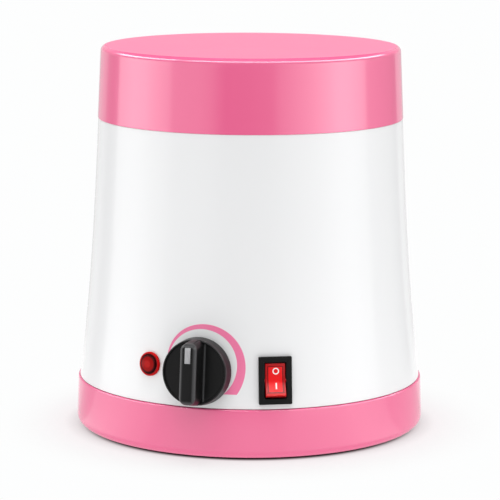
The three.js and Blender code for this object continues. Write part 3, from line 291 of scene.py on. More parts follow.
class Field:
    """A socket of a node tree. Arithmetic on fields adds Math nodes."""

    def __init__(self, tree, socket=None):
        self.tree = tree
        self.socket = socket

    def node(self, kind, sockets=None, settings=None, out=0):
        """Adds a node with values or links for its sockets, and with its settings. Gives one output."""
        made = self.tree.nodes.new(kind)
        for key, value in (settings or {}).items():
            if key == "stops":
                while len(made.color_ramp.elements) < len(value):
                    made.color_ramp.elements.new(0.5)
                for element, (place, colour) in zip(made.color_ramp.elements, value):
                    element.position = place
                    element.color = (*colour, 1)
            else:
                setattr(made, key, value)
        for key, value in (sockets or {}).items():
            if isinstance(value, Field):
                self.tree.links.new(value.socket, made.inputs[key])
            else:
                made.inputs[key].default_value = value
        return Field(self.tree, made.outputs[out]) if len(made.outputs) else None

    def math(self, operation, other=0.0, swapped=False):
        """A Math node of the field and another value, or of that value and the field."""
        pair = (other, self) if swapped else (self, other)
        return self.node("ShaderNodeMath", dict(enumerate(pair)), {"operation": operation})

    def __add__(self, other):
        return self.math("ADD", other)

    def __sub__(self, other):
        return self.math("SUBTRACT", other)

    def __rsub__(self, other):
        return self.math("SUBTRACT", other, swapped=True)

    def __mul__(self, other):
        return self.math("MULTIPLY", other)

    def __truediv__(self, other):
        return self.math("DIVIDE", other)

    def __pow__(self, other):
        return self.math("POWER", other)

    def rising(self, low, high):
        """0 below low and 1 above high, with a smooth step between."""
        sockets = {"Value": self, "From Min": low, "From Max": high}
        return self.node("ShaderNodeMapRange", sockets, {"interpolation_type": "SMOOTHSTEP"})

    def within(self, low, high):
        """1 below low and 0 above high, with a smooth step between."""
        return 1.0 - self.rising(low, high)

    def size(self):
        """The value without its sign."""
        return self.math("ABSOLUTE")

    def along(self, axis):
        """The part of a vector along a fixed axis."""
        sockets = {0: self, 1: tuple(axis)}
        return self.node("ShaderNodeVectorMath", sockets, {"operation": "DOT_PRODUCT"}, "Value")

    def split(self):
        """The three parts of a vector."""
        made = self.node("ShaderNodeSeparateXYZ", {0: self}).socket.node
        return [Field(self.tree, socket) for socket in made.outputs]

    def stretched(self, x, y, z):
        sockets = {0: self, 1: (x, y, z)}
        return self.node("ShaderNodeVectorMath", sockets, {"operation": "MULTIPLY"})


def length(x, y):
    """The distance of a point from the origin."""
    return (x * x + y * y) ** 0.5


def direction(x, y):
    """The azimuth of a point from the front, in radians."""
    return x.math("ARCTAN2", y * -1)


def cloud(at, size, detail=2.0, roughness=0.5):
    """Soft noise whose features are `size` metres across, from 0 to 1."""
    sockets = {"Vector": at, "Scale": 1 / size, "Detail": detail, "Roughness": roughness}
    return at.node("ShaderNodeTexNoise", sockets)


def tinted(mask, colour, other):
    """A colour where the mask is 0, and the other one where it is 1."""
    def ready(c):
        return c if isinstance(c, Field) else (*c, 1)
    sockets = {0: mask, 6: ready(colour), 7: ready(other)}
    return mask.node("ShaderNodeMix", sockets, {"data_type": "RGBA"}, 2)


def shade(colour, factor):
    """A colour made darker or brighter."""
    return tuple(min(1.0, c * factor) for c in colour)


def grained(height, strength, distance):
    """The normal of a surface with a height field pressed into it."""
    sockets = {"Strength": strength, "Distance": distance, "Height": height}
    return height.node("ShaderNodeBump", sockets)


def bare_tree(owner):
    """A cleared node tree of a material, world or light, as a field to start from."""
    owner.use_nodes = True
    owner.node_tree.nodes.clear()
    return Field(owner.node_tree)


def finish(name, build):
    """A material from a function that gives the sockets of its Principled shader."""
    material = bpy.data.materials.new(name)
    start = bare_tree(material)
    at = start.node("ShaderNodeTexCoord", out="Object")
    shader = start.node("ShaderNodeBsdfPrincipled", build(at))
    start.node("ShaderNodeOutputMaterial", {"Surface": shader})
    return material


def moulded(name, colour, roughness, peel=3 * MM, depth=0.01 * MM, drift=0.02, painted=None, shine=0.5):
    """Moulded plastic: a faint drift of colour, flow marks in the gloss and a fine peel."""
    def build(at):
        broad = cloud(at, 60 * MM)
        fine = cloud(at, peel, 3.0)
        dust = cloud(at, 0.9 * MM, 1.0).rising(0.68, 0.8)
        base = tinted(broad, shade(colour, 1 - drift), shade(colour, 1 + drift))
        gloss = (broad - 0.5) * 0.05 + (fine - 0.5) * 0.04 + dust * 0.05 + roughness
        made = {"Base Color": base, "Roughness": gloss, "Normal": grained(fine, 0.35, depth)}
        made["Specular IOR Level"] = shine
        return painted(at, made) if painted else made
    return finish(name, build)


def spun(name, colour, roughness, pitch=0.35 * MM, depth=0.004 * MM):
    """Metal turned or spun about Z: fine rings in the gloss, and faint stains."""
    def build(at):
        x, y, z = at.split()
        radius = length(x, y)
        rings = at.node("ShaderNodeCombineXYZ", {0: radius / pitch, 1: z / pitch})
        lines = at.node("ShaderNodeTexNoise", {"Vector": rings, "Scale": 1.0, "Detail": 3.0})
        stain = cloud(at, 30 * MM, 4.0)
        base = tinted(lines * 0.5 + stain * 0.5, shade(colour, 0.86), shade(colour, 1.08))
        gloss = (lines - 0.5) * 0.22 + (stain - 0.5) * 0.14 + roughness
        normal = grained(lines, 0.4, depth)
        return {"Base Color": base, "Metallic": 1.0, "Roughness": gloss, "Normal": normal}
    return finish(name, build)


def plated(name, colour, roughness, metallic=1.0, size=1.2 * MM, depth=0.006 * MM, fleck=0.1):
    """Plated, bare or painted metal: fine speckle, dull patches and hair scratches."""
    def build(at):
        speck = cloud(at, size, 4.0, 0.6)
        patch = cloud(at, 12 * MM, 3.0)
        hair = cloud(at.stretched(1, 1, 0.06), 0.4 * MM, 2.0).rising(0.6, 0.75)
        base = tinted(speck * 0.6 + patch * 0.4, shade(colour, 1 - fleck), shade(colour, 1 + fleck))
        gloss = (speck - 0.5) * 0.15 + (patch - 0.5) * 0.2 + roughness - hair * 0.06
        normal = grained(speck - hair * 0.5, 0.4, depth)
        return {"Base Color": base, "Metallic": metallic, "Roughness": gloss, "Normal": normal}
    return finish(name, build)


def matt(name, colour, roughness, size=0.8 * MM, depth=0.03 * MM, drift=0.12):
    """Rubber, laminate, nylon and insulation: grainy, with a dull bloom."""
    def build(at):
        grain = cloud(at, size, 4.0, 0.6)
        bloom = cloud(at, 15 * MM, 3.0)
        base = tinted(grain * 0.4 + bloom * 0.6, shade(colour, 1 - drift), shade(colour, 1 + drift))
        gloss = (grain - 0.5) * 0.2 + (bloom - 0.5) * 0.12 + roughness
        return {"Base Color": base, "Roughness": gloss, "Normal": grained(grain, 0.5, depth)}
    return finish(name, build)


PINK = (0.816, 0.128, 0.285)
WHITE = (0.80, 0.804, 0.81)
# The colour of the painted highlights on the knob's edges.
PAINTED_HIGHLIGHT_GREY = (0.062, 0.062, 0.064)
PRINT_WHITE = (0.9, 0.87, 0.86)

# Half the blur of a printed edge, in millimetres.
EDGE = 0.06


def crescent(at, made):
    """The printed scale round the dial: a band that grows clockwise and ends on a level line."""
    centre_azimuth, centre_z, inner, level_end = 15.98, 42.94, 16.35, 12.5
    thin_end, growth, barrel_inside = math.radians(214), math.degrees(0.018), 74.5
    x, y, z = at.stretched(1 / MM, 1 / MM, 1 / MM).split()
    radius = length(x, y)
    azimuth = direction(x, y)
    u = (azimuth + math.radians(centre_azimuth)) * radius
    v = z - centre_z
    turn = v.math("ARCTAN2", u)
    turn = turn + turn.math("LESS_THAN", -math.pi / 2) * (2 * math.pi)
    reach = length(u, v)
    width = (thin_end - turn) * growth
    band = (reach - inner).rising(-EDGE, EDGE) * (width + inner - reach).rising(-EDGE, EDGE)
    front = y.math("LESS_THAN", 0)
    above = (v + level_end).rising(-EDGE, EDGE)
    mask = band * front * above * radius.math("GREATER_THAN", barrel_inside)
    ink = tinted(cloud(at, 0.6 * MM, 2.0), (0.84, 0.19, 0.36), (0.90, 0.22, 0.40))
    made["Base Color"] = tinted(mask, made["Base Color"], ink)
    made["Roughness"] = made["Roughness"] + mask * 0.06
    return made


def satin_top(at, made):
    """The flat top of the lid is satin, and its sides are glossy."""
    z = at.split()[2]
    flat = z.rising((LID_TOP_Z - 0.25) * MM, LID_TOP_Z * MM)
    made["Roughness"] = made["Roughness"] + flat * 0.2
    return made


def on_frame(at, place):
    """The coordinates of a point on a panel frame, in millimetres: across, up and out."""
    axes = [Vector(place.col[k][:3]) for k in range(3)]
    return [at.along(axis / MM) - place.translation.dot(axis) for axis in axes]


def ring_mask(u, v, middle, radius, half):
    """1 on a printed ring, whose line is two halves wide."""
    off = (length(u - middle[0], v - middle[1]) - radius).size()
    return (half - off).rising(-EDGE, EDGE)


def bar_mask(u, v, middle, width, height):
    """1 on a printed rectangle."""
    du, dv = (u - middle[0]).size(), (v - middle[1]).size()
    return (width / 2 - du).rising(-EDGE, EDGE) * (height / 2 - dv).rising(-EDGE, EDGE)


def painted_edge_highlights(at, made):
    """Painted highlights: the knob is paler along the bar's edges, at its foot and on the rim, where its
    rounded edges catch the light.
    """
    u, v, h = on_frame(at, DIAL)
    off, along = u.size(), v.size()
    rim = length(u, v).rising(14.2, 15.0) * h.rising(6.4, 6.9)
    sides = off.rising(2.0, 3.0) * h.rising(16.0, 17.2)
    ends = along.rising(11.6, 13.0) * h.rising(15.2, 16.8)
    foot = off.rising(4.1, 4.4) * off.within(4.8, 5.1)
    foot = foot * h.rising(6.8, 7.1) * h.within(7.4, 8.0)
    # Painted highlight: paler bands on the bar's rounded edges and ends, on the foot's fillet and on the
    # rim.
    painted_highlight_share = sides.math("MAXIMUM", ends) * 0.8 + rim * 0.35 + foot * 0.8
    made["Base Color"] = tinted(painted_highlight_share, made["Base Color"], PAINTED_HIGHLIGHT_GREY)
    return made


def rocker_print_and_painted_shade(at, made):
    """Painted light and shade on the red rocker: a bright face in a darker frame, a lighter lip, and a dark
    heel and groove as painted shadow; the ring and the bar are printed in white.
    """
    u, v, h = on_frame(at, SWITCH)
    across = 8.4
    face = bar_mask(u, v, (0, 0.55), 6.3, 11.1)
    rim = bar_mask(u, v, (0, 0.45), 7.3, 12.0) * (1.0 - face)
    lip = bar_mask(u, v, (0, -6.3), across, 1.4)
    heel = bar_mask(u, v, (0, -7.2), across, 0.7)
    groove = bar_mask(u, v, (0, -5.35), across, 0.45)
    marks = ring_mask(u, v, (0.25, 4.2), 1.25, 0.235) + bar_mask(u, v, (0.3, -2.4), 0.62, 2.7)
    marks = marks * h.rising(0.0, 0.3)
    # Painted light and shade on one red plastic: bright face, dark frame, lighter lip, and painted shadow
    # on the heel and in the groove.
    base = tinted(face, (0.42, 0.006, 0.008), (0.77, 0.008, 0.011))
    base = tinted(rim * 0.8, base, (0.10, 0.002, 0.003))
    base = tinted(lip, base, (0.56, 0.003, 0.004))
    base = tinted(heel * 0.8, base, (0.08, 0.001, 0.001))
    base = tinted(groove, base, (0.20, 0.003, 0.004))
    made["Base Color"] = tinted(marks, base, PRINT_WHITE)
    made["Roughness"] = made["Roughness"] + marks * 0.2
    return made


def lens_painted_light_rings(at, made):
    """A red lens with painted light and shade: bright at its flange, painted shade in its groove, and red
    again on its dome, lighter at its core.
    """
    u, v, _ = on_frame(at, LAMP)
    reach = length(u, v)
    dome = (3.35 - reach).rising(-0.4, 0.4)
    core = (1.6 - reach).rising(-0.6, 0.6)
    flange = (reach - 4.7).rising(-0.3, 0.3)
    # Painted light and shade: a dark ring in the groove and brighter red on the dome's core and the flange.
    base = tinted(dome, (0.045, 0.003, 0.004), (0.30, 0.006, 0.006))
    base = tinted(core, base, (0.42, 0.010, 0.009))
    made["Base Color"] = tinted(flange, base, (0.52, 0.004, 0.005))
    return made


pink_plastic = moulded("pink_plastic", PINK, 0.10, depth=0.003 * MM, painted=satin_top, shine=0.83)
white_plastic = moulded(
    "white_plastic", WHITE, 0.14, depth=0.006 * MM, drift=0.008, painted=crescent, shine=0.33,
)
knob_plastic = moulded(
    "knob_plastic", (0.004, 0.004, 0.0042), 0.34, 0.7 * MM, drift=0.15, painted=painted_edge_highlights, shine=0.17,
)
bezel_plastic = moulded(
    "bezel_plastic", (0.006, 0.0062, 0.0062), 0.4, 0.5 * MM, 0.03 * MM, 0.15, shine=0.1,
)
rocker_plastic = moulded("rocker_plastic", (0.7, 0.02, 0.02), 0.24, painted=rocker_print_and_painted_shade, shine=0.2)
lens_plastic = moulded("lens_plastic", (0.6, 0.02, 0.02), 0.2, painted=lens_painted_light_rings, shine=0.06)
pointer_foil = plated("pointer_foil", (0.36, 0.36, 0.37), 0.4, metallic=0.3, size=0.6 * MM)
foot_rubber = matt("foot_rubber", (0.022, 0.022, 0.023), 0.8)
gland_rubber = matt("gland_rubber", (0.020, 0.020, 0.021), 0.6)
spun_aluminium = spun("spun_aluminium", (0.72, 0.725, 0.735), 0.34)
zinc_steel = plated("zinc_steel", (0.56, 0.57, 0.585), 0.32)
bright_steel = plated("bright_steel", (0.62, 0.62, 0.63), 0.2, size=0.8 * MM, fleck=0.05)
bare_brass = plated("bare_brass", (0.62, 0.42, 0.13), 0.34)
bare_copper = plated("bare_copper", (0.60, 0.26, 0.13), 0.36)
band_metal = spun("band_metal", (0.42, 0.40, 0.36), 0.5, pitch=0.9 * MM)
cream_nylon = matt("cream_nylon", (0.78, 0.75, 0.66), 0.45, depth=0.01 * MM, drift=0.04)
brown_laminate = matt("brown_laminate", (0.075, 0.035, 0.022), 0.55, size=1.5 * MM)
brown_wire = matt("brown_wire", (0.15, 0.055, 0.025), 0.5, depth=0.01 * MM)
blue_wire = matt("blue_wire", (0.025, 0.11, 0.36), 0.5, depth=0.01 * MM)
red_wire = matt("red_wire", (0.45, 0.035, 0.025), 0.6, depth=0.04 * MM)
white_wire = matt("white_wire", (0.74, 0.73, 0.68), 0.65, depth=0.04 * MM)


# Geometry trees

def tree_with(name, inputs):
    """A geometry tree with inputs (name, socket type, value). Gives its start and its inputs."""
    tree = bpy.data.node_groups.new(name, "GeometryNodeTree")
    tree.interface.new_socket("Geometry", in_out="INPUT", socket_type="NodeSocketGeometry")
    for label, kind, value in inputs:
        socket = tree.interface.new_socket(label, in_out="INPUT", socket_type="NodeSocket" + kind)
        if value is not None:
            socket.default_value = value
    tree.interface.new_socket("Geometry", in_out="OUTPUT", socket_type="NodeSocketGeometry")
    start = Field(tree)
    made = start.node("NodeGroupInput").socket.node
    return start, {socket.name: Field(tree, socket) for socket in made.outputs if socket.name}


def ended(geometry, material):
    """Ends a geometry tree: real geometry, with its material."""
    real = geometry.node("GeometryNodeRealizeInstances", {"Geometry": geometry})
    dressed = real.node("GeometryNodeSetMaterial", {"Geometry": real, "Material": material})
    dressed.node("NodeGroupOutput", {0: dressed})
    return geometry.tree


def shaped(piece, tree, **values):
    """Runs a geometry tree on a piece, with values for its named inputs, and keeps the plain result."""
    step = piece.modifiers.new("shape", "NODES")
    step.node_group = tree
    for item in tree.interface.items_tree:
        label = item.name.lower().replace(" ", "_")
        if item.in_out == "INPUT" and label in values:
            step[item.identifier] = values[label]
    return settle(piece)


def flare_tree(material):
    """Flares a straight barrel towards its foot, by a straight and a curved share."""
    start, given = tree_with("barrel_flare", [
        ("Shoulder", "Float", SHOULDER_Z), ("Height", "Float", BODY_H),
        ("Straight", "Float", STRAIGHT_FLARE), ("Curved", "Float", CURVED_FLARE),
        ("Power", "Float", FLARE_POWER),
    ])
    x, y, z = start.node("GeometryNodeInputPosition").split()
    drop = (given["Shoulder"] - z) / given["Height"]
    drop = drop.math("MAXIMUM", 0.0)
    drop = drop.math("MINIMUM", 1.0)
    growth = drop * given["Straight"] + drop ** given["Power"] * given["Curved"]
    radius = length(x, y)
    offset = start.node("ShaderNodeCombineXYZ", {0: x * growth / radius, 1: y * growth / radius})
    sockets = {"Geometry": given["Geometry"], "Offset": offset}
    return ended(start.node("GeometryNodeSetPosition", sockets), material)


def ring_tree(material):
    """Copies of the piece, turned about Z at even steps."""
    start, given = tree_with("ring_of_copies", [("Count", "Int", 8), ("Start", "Float", 0.0)])
    points = start.node("GeometryNodePoints", {"Count": given["Count"]})
    index = start.node("GeometryNodeInputIndex")
    turn = index * (2 * math.pi) / given["Count"] + given["Start"]
    rotation = start.node("ShaderNodeCombineXYZ", {2: turn})
    sockets = {"Points": points, "Instance": given["Geometry"], "Rotation": rotation}
    return ended(start.node("GeometryNodeInstanceOnPoints", sockets), material)


def copies_tree(material):
    """A fastener or foot at each point of the piece, turned as asked."""
    inputs = [("Copied", "Object", None), ("Turn", "Rotation", None)]
    start, given = tree_with("copies_at_points", inputs)
    copied = start.node("GeometryNodeObjectInfo", {"Object": given["Copied"]}, out="Geometry")
    sockets = {"Points": given["Geometry"], "Instance": copied, "Rotation": given["Turn"]}
    return ended(start.node("GeometryNodeInstanceOnPoints", sockets), material)


def wire_tree(material):
    """A round wire along the piece's edges, with closed ends."""
    start, given = tree_with("wire_along_edges", [("Radius", "Float", 1.0), ("Sides", "Int", 24)])
    path = start.node("GeometryNodeMeshToCurve", {0: given["Geometry"]})
    sockets = {"Resolution": given["Sides"], "Radius": given["Radius"]}
    section = start.node("GeometryNodeCurvePrimitiveCircle", sockets)
    sockets = {"Curve": path, "Profile Curve": section, "Fill Caps": True}
    return ended(start.node("GeometryNodeCurveToMesh", sockets), material)


def points_piece(name, points, linked=False):
    """A piece of bare points, or of a line through them."""
    data = bpy.data.meshes.new(name)
    line = [(k, k + 1) for k in range(len(points) - 1)] if linked else []
    data.from_pydata([tuple(p) for p in points], line, [])
    return added(name, data)


def copies(name, model, points, material, turn=(0.0, 0.0, 0.0)):
    """Copies of a model at points, as one piece."""
    made = shaped(points_piece(name, points), copies_tree(material), copied=model, turn=turn)
    bpy.data.objects.remove(model)
    return made


# The pieces

def finished(piece, material, body, nodes, slot, crease=32):
    """Puts a piece in metres on its body, smooth between creases, in place of CAD nodes."""
    piece.data.transform(Matrix.Scale(MM, 4))
    piece.data.materials.clear()
    piece.data.materials.append(material)
    piece.data.shade_smooth()
    piece.data.set_sharp_from_angle(angle=math.radians(crease))
    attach(piece, body)
    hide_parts(*nodes)
    return piece


def dressed(node, material, slot, edge=0.0, body="base"):
    """A clean copy of a CAD node with merged faces, rounded edges and smooth shading."""
    mesh = bmesh.new()
    mesh.from_mesh(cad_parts[node].data)
    bmesh.ops.scale(mesh, vec=(1 / MM,) * 3, verts=mesh.verts)
    bmesh.ops.remove_doubles(mesh, verts=mesh.verts, dist=1e-3)
    bmesh.ops.dissolve_limit(mesh, angle_limit=math.radians(0.5), verts=mesh.verts, edges=mesh.edges)
    piece = piece_from(node + "_made", mesh)
    if edge:
        softened(piece, edge, 2, 40)
    return finished(piece, material, body, [node], slot, 50)


def lid():
    """The cap: a tapered wall with a rounded top edge, and eight short ribs that centre it."""
    foot_r, foot_inner_r, top_r, edge = 71.94, 69.54, 70.40, 2.5
    ceiling_z, ceiling_r, ceiling_edge = 178.2, 68.0, 1.25
    rib_width, rib_depth, rib_r, rib_low, rib_high = 1.2, 1.9, 67.6, 1.2, 11
    shell = turned("lid_cap", [
        (foot_inner_r, SHOULDER_Z), (foot_r, SHOULDER_Z, 0.3), (top_r, LID_TOP_Z, edge), (0, LID_TOP_Z),
        (0, ceiling_z), (ceiling_r, ceiling_z, ceiling_edge),
    ], facets=240, steps=12, longest=8.0)
    rib = block(rib_width, rib_depth, SHOULDER_Z + rib_low, SHOULDER_Z + rib_high)
    shifted(rib, 0, rib_r + rib_depth / 2)
    ribs = shaped(rib, ring_tree(pink_plastic), count=8)
    return finished(joined(shell, ribs), pink_plastic, "lid", ["lid"], "pink_plastic")


def barrel():
    """The barrel with its deck and its skirt, first made straight and then flared."""
    flare = STRAIGHT_FLARE + CURVED_FLARE
    skirt_r, skirt_inner_r, skirt_z = 78.85 - flare, 76.45 - flare, 16
    rim_r, rim_inner_r, deck_r, deck_low_z = 67.3, 64.9, 56.5, 157.6
    wall_inner_r, wall_top_z, wall_low_z = 69.35, 144.4, 26.4
    shell = turned("barrel", [
        (skirt_inner_r, skirt_z), (skirt_r, skirt_z), (skirt_r, RING_TOP_Z), (BODY_TOP_R, RING_TOP_Z),
        (BODY_TOP_R, SHOULDER_Z, 0.3), (rim_r, SHOULDER_Z), (rim_r, DECK_Z, 0.8), (deck_r, DECK_Z),
        (deck_r, deck_low_z), (rim_inner_r, deck_low_z), (rim_inner_r, wall_top_z),
        (wall_inner_r, wall_top_z), (wall_inner_r, wall_low_z), (skirt_inner_r, RING_TOP_Z),
    ], facets=240, steps=6, longest=4.0)
    return shaped(shell, flare_tree(white_plastic))


def post_ribs():
    """The ribs that tie the screw posts to the barrel's wall."""
    width, depth = 2.4, 4.2
    radius, azimuths = BASE_SCREWS
    ribs = [shifted(block(width, depth, 16, 40), 0, -radius - depth / 2) for _ in azimuths]
    return [moved(rib, Matrix.Rotation(math.radians(a), 4, "Z")) for rib, a in zip(ribs, azimuths)]


def housing():
    """The white barrel, its screw posts, and the openings for the controls and the gland."""
    shell = barrel()
    posts = rods(BASE_SCREWS, radius=4, start=8, end=40)
    bosses = rods(WELL_SCREWS, radius=3.5, start=152, end=158.8)
    joined(shell, *posts, *post_ribs(), *bosses)
    post_holes = rods(BASE_SCREWS, radius=1.6, start=6, end=20.7)
    boss_holes = rods(WELL_SCREWS, radius=1.6, start=153.1, end=162)
    inside, seat, back = -4.8, -2.2, -4.2
    dial_hole, dial_seat = rod(5.1, inside, OVERRUN), rod(8.3, back, seat)
    lamp_hole, lamp_seat = rod(4.2, inside, OVERRUN), rod(7.5, back, seat)
    switch_hole = block(13.25, 19.8, inside, OVERRUN)
    gland_slot = block(23, 10.7, 14, 23.7)
    cut(
        shell, *post_holes, *boss_holes, moved(dial_hole, DIAL), moved(dial_seat, DIAL),
        moved(lamp_hole, LAMP), moved(lamp_seat, LAMP), moved(switch_hole, SWITCH),
        shifted(gland_slot, 0, 77),
    )
    return finished(shell, white_plastic, "base", ["housing"], "white_plastic")


def base_tray():
    """The pink ring and its floor, with vents, screw bosses, foot recesses and the gland's seat."""
    foot_r, foot_edge, low_z, floor_z = 82.6, 3.6, 1.2, 3.7
    top_r, inner_r, seam_z = 81.75, 79.15, RING_TOP_Z - 0.3
    boss_top_z, head_z = 8, 5.7
    gland_hole_r, gland_seat_r, seat_in, seat_out = 5.3, 10, -7.2, -5.2
    shell = turned("base_ring", [
        (0, low_z), (foot_r, low_z, foot_edge), (top_r, seam_z, 0.6), (inner_r, seam_z),
        (inner_r, floor_z), (0, floor_z),
    ], facets=240, steps=8, longest=6.0)
    bosses = rods(BASE_SCREWS, radius=5.5, start=2.45, end=boss_top_z)
    joined(shell, *bosses, moved(rod(gland_seat_r, seat_out, 0), GLAND))
    heads = rods(BASE_SCREWS, radius=3.8, start=-OVERRUN, end=head_z)
    shanks = rods(BASE_SCREWS, radius=1.8, start=5, end=boss_top_z + OVERRUN)
    recesses = rods(FEET, radius=8.1, start=-OVERRUN, end=2.2)
    slot = shifted(pulled("vent", rectangle(2.6, 14, 0.87), -OVERRUN, head_z), 0, 26)
    vents = shaped(slot, ring_tree(pink_plastic), count=12, start=math.pi / 12)
    drain = shifted(rod(1.4, -OVERRUN, head_z), 0, 40)
    gland_hole = rod(gland_hole_r, seat_in, OVERRUN)
    gland_seats = [rod(gland_seat_r, 0, OVERRUN), rod(gland_seat_r, seat_in, seat_out)]
    gland_cuts = [moved(tool, GLAND) for tool in (gland_hole, *gland_seats)]
    cut(shell, *heads, *shanks, *recesses, vents, drain, *gland_cuts)
    return finished(shell, pink_plastic, "base", ["base_tray"], "pink_plastic")


def well():
    """The heated cup, hung from the deck by its flange."""
    outer_r, bore_r, flange_r, low_z, floor_z = 54.1, 52.9, 66, 68.1, 69.3
    shell = turned("heating_well", [
        (0, low_z), (outer_r, low_z, 6), (outer_r, DECK_Z), (flange_r, DECK_Z), (flange_r, WELL_TOP_Z),
        (bore_r, WELL_TOP_Z, 1.15), (bore_r, floor_z, 4.8), (0, floor_z),
    ], facets=192, steps=8, longest=10.0)
    cut(shell, *rods(WELL_SCREWS, radius=1.8, start=158, end=163))
    return finished(shell, spun_aluminium, "base", ["well"], "aluminium")


def pot():
    """The wax pot: a spun cup whose rim rests on the well's flange."""
    outer_r, bore_r, rim_r, lip_r = 51.8, 50.8, 58, 57
    low_z, floor_z, under_z, rim_z = 70.4, 71.4, 162.4, 163.4
    shell = turned("wax_pot", [
        (0, low_z), (outer_r, low_z, 6), (outer_r, under_z), (lip_r, under_z), (lip_r, WELL_TOP_Z),
        (rim_r, WELL_TOP_Z), (rim_r, rim_z, 0.8), (bore_r, rim_z, 0.98), (bore_r, floor_z, 5), (0, floor_z),
    ], facets=192, steps=8, longest=10.0)
    cut(shell, *[shifted(rod(1.1, 160, 165), x, 0) for x in (-RIVET_X, RIVET_X)])
    return finished(shell, spun_aluminium, "pot", ["pot"], "aluminium")


def rivets():
    """The two rivets that hold the ears to the pot's rim."""
    head_r, shank_r, edge, low_z, under_z, over_z, top_z = 1.4, 1, 0.4, 161.6, 162.4, 164.6, 165.4
    model = turned("rivet", [
        (0, low_z), (head_r, low_z, edge), (head_r, under_z), (shank_r, under_z), (shank_r, over_z),
        (head_r, over_z), (head_r, top_z, edge), (0, top_z),
    ], facets=32, steps=5)
    made = copies("ear_rivets", model, [(-RIVET_X, 0, 0), (RIVET_X, 0, 0)], bright_steel)
    return finished(made, bright_steel, "pot", ["ear_rivet_right", "ear_rivet_left"], "steel")


def bail():
    """The wire handle: a half circle whose bent ends pass through the ears, with flattened heads."""
    end_x, bend, head_r, head_half = 50.9, 3.0, 2.2, 0.4
    turn = bend / BAIL_R
    hook = [Vector((end_x, 0, 0)), Vector((BAIL_R - bend, 0, 0))]
    for k in range(1, 8):
        a = math.pi / 2 * k / 8
        hook.append(Vector((BAIL_R - bend + (bend - 0.2) * math.sin(a), bend * (1 - math.cos(a)), 0)))
    turns = [turn + (math.pi - 2 * turn) * k / 96 for k in range(97)]
    bow = [Vector((BAIL_R * math.cos(a), BAIL_R * math.sin(a), 0)) for a in turns]
    mirrored = [Vector((-p.x, p.y, p.z)) for p in reversed(hook)]
    path = points_piece("pot_bail", hook + bow + mirrored, linked=True)
    wire = shaped(path, wire_tree(bright_steel), radius=BAIL_WIRE_R)
    outline = [(0, -head_half), (head_r, -head_half, 0.3), (head_r, head_half, 0.3), (0, head_half)]
    heads = [on_side(turned("head", outline, facets=32, steps=4)) for _ in range(2)]
    for side, head in zip((-1, 1), heads):
        shifted(head, side * (end_x + head_half), 0)
    joined(wire, *heads)
    drop, gap = 5.1, 0.3
    lean = -math.asin((drop - BAIL_WIRE_R - gap) / BAIL_R)
    moved(wire, Matrix.Translation((0, 0, PIVOT_Z)) @ Matrix.Rotation(lean, 4, "X"))
    return finished(wire, bright_steel, "bail", ["bail"], "steel")


def screw(head_r, head_h, shank_r, shank_l):
    """A cross-head screw that seats at z = 0, head up."""
    model = turned("screw", [
        (0, -shank_l), (shank_r, -shank_l, 0.4), (shank_r, 0), (head_r, 0, 0.2),
        (head_r, head_h, head_h * 0.5), (0, head_h),
    ], facets=40, steps=5)
    reach, arm, low, high = head_r * 1.1, head_r * 0.3, head_h * 0.45, head_h + 1
    return cut(model, block(reach, arm, low, high), block(arm, reach, low, high))


def fasteners():
    """The four screws under the base, the three on the well's flange, and the four feet."""
    down, base_seat_z = (math.pi, 0.0, 0.0), 5.7
    model = screw(head_r=3.5, head_h=2, shank_r=1.5, shank_l=13)
    made = copies("base_screws", model, places(BASE_SCREWS, base_seat_z), zinc_steel, down)
    finished(made, zinc_steel, "base", [f"base_screw_{k}" for k in (1, 2, 3, 4)], "steel")
    model = screw(head_r=2.8, head_h=2, shank_r=1.5, shank_l=8)
    made = copies("well_screws", model, places(WELL_SCREWS, WELL_TOP_Z), zinc_steel)
    finished(made, zinc_steel, "base", [f"well_screw_{k}" for k in (1, 2, 3)], "steel")
    foot_r, sole_r, foot_h = 8, 6.4, 2.2
    outline = [(0, 0), (sole_r, 0), (foot_r, 0, 0.6), (foot_r, foot_h), (0, foot_h)]
    made = copies("feet", turned("foot", outline, facets=64, steps=6), places(FEET), foot_rubber)
    finished(made, foot_rubber, "base", [f"foot_{k}" for k in (1, 2, 3, 4)], "rubber")


def gland():
    """The cord's bush: a flange against the ring and a tapered nose with six grooves."""
    bore_r, neck_r, flange_r, flange_h, nose_r, nose_h, tip_r = 3.5, 5, 8.5, 2, 6.5, 12.6, 5.6
    first, pitch, taper, groove = 3.3, 1.45, 0.094, 0.45
    nose = []
    for k in range(6):
        h = first + pitch * k
        r = nose_r - taper * (h - flange_h)
        nose += [(r, h), (r - groove, h + 0.12), (r - groove, h + 0.55), (r - 0.08, h + 0.67)]
    bush = turned("cord_bush", [
        (bore_r, -10.7), (neck_r, -10.7), (neck_r, 0.1), (flange_r, 0.1), (flange_r, flange_h, 0.6),
        (6.6, flange_h), *nose, (tip_r, nose_h, 0.6), (bore_r, nose_h, 0.6),
    ], facets=96, steps=5)
    return finished(moved(bush, GLAND), gland_rubber, "base", ["cord_gland"], "rubber")


def grip_bar():
    """The bar across the knob: drafted sides, rounded front edges and a filleted foot."""
    top, foot, edge, fillet, width, span, corner = 18.3, 7.2, 1.7, 0.45, 7.5, 27.2, 3.2
    def loop(height, grow):
        drop = (top - height) / (top - foot)
        half = width / 2 + 0.3 * drop + grow
        reach = span / 2 + 1.4 * drop + grow
        corners = rectangle(2 * half, 2 * reach, corner + min(grow, 0) + 0.4 * drop)
        return [(p.x, p.y, height) for p in rounded(corners, 10)]
    loops = [loop(foot - 0.7, fillet)]
    for k in range(7):
        turn = math.pi / 2 * k / 6
        loops.append(loop(foot + fillet * (1 - math.cos(turn)), fillet * (1 - math.sin(turn))))
    for k in range(9):
        turn = math.pi / 2 * k / 8
        loops.append(loop(top - edge * (1 - math.sin(turn)), -edge * (1 - math.cos(turn))))
    return lofted("bar", loops)


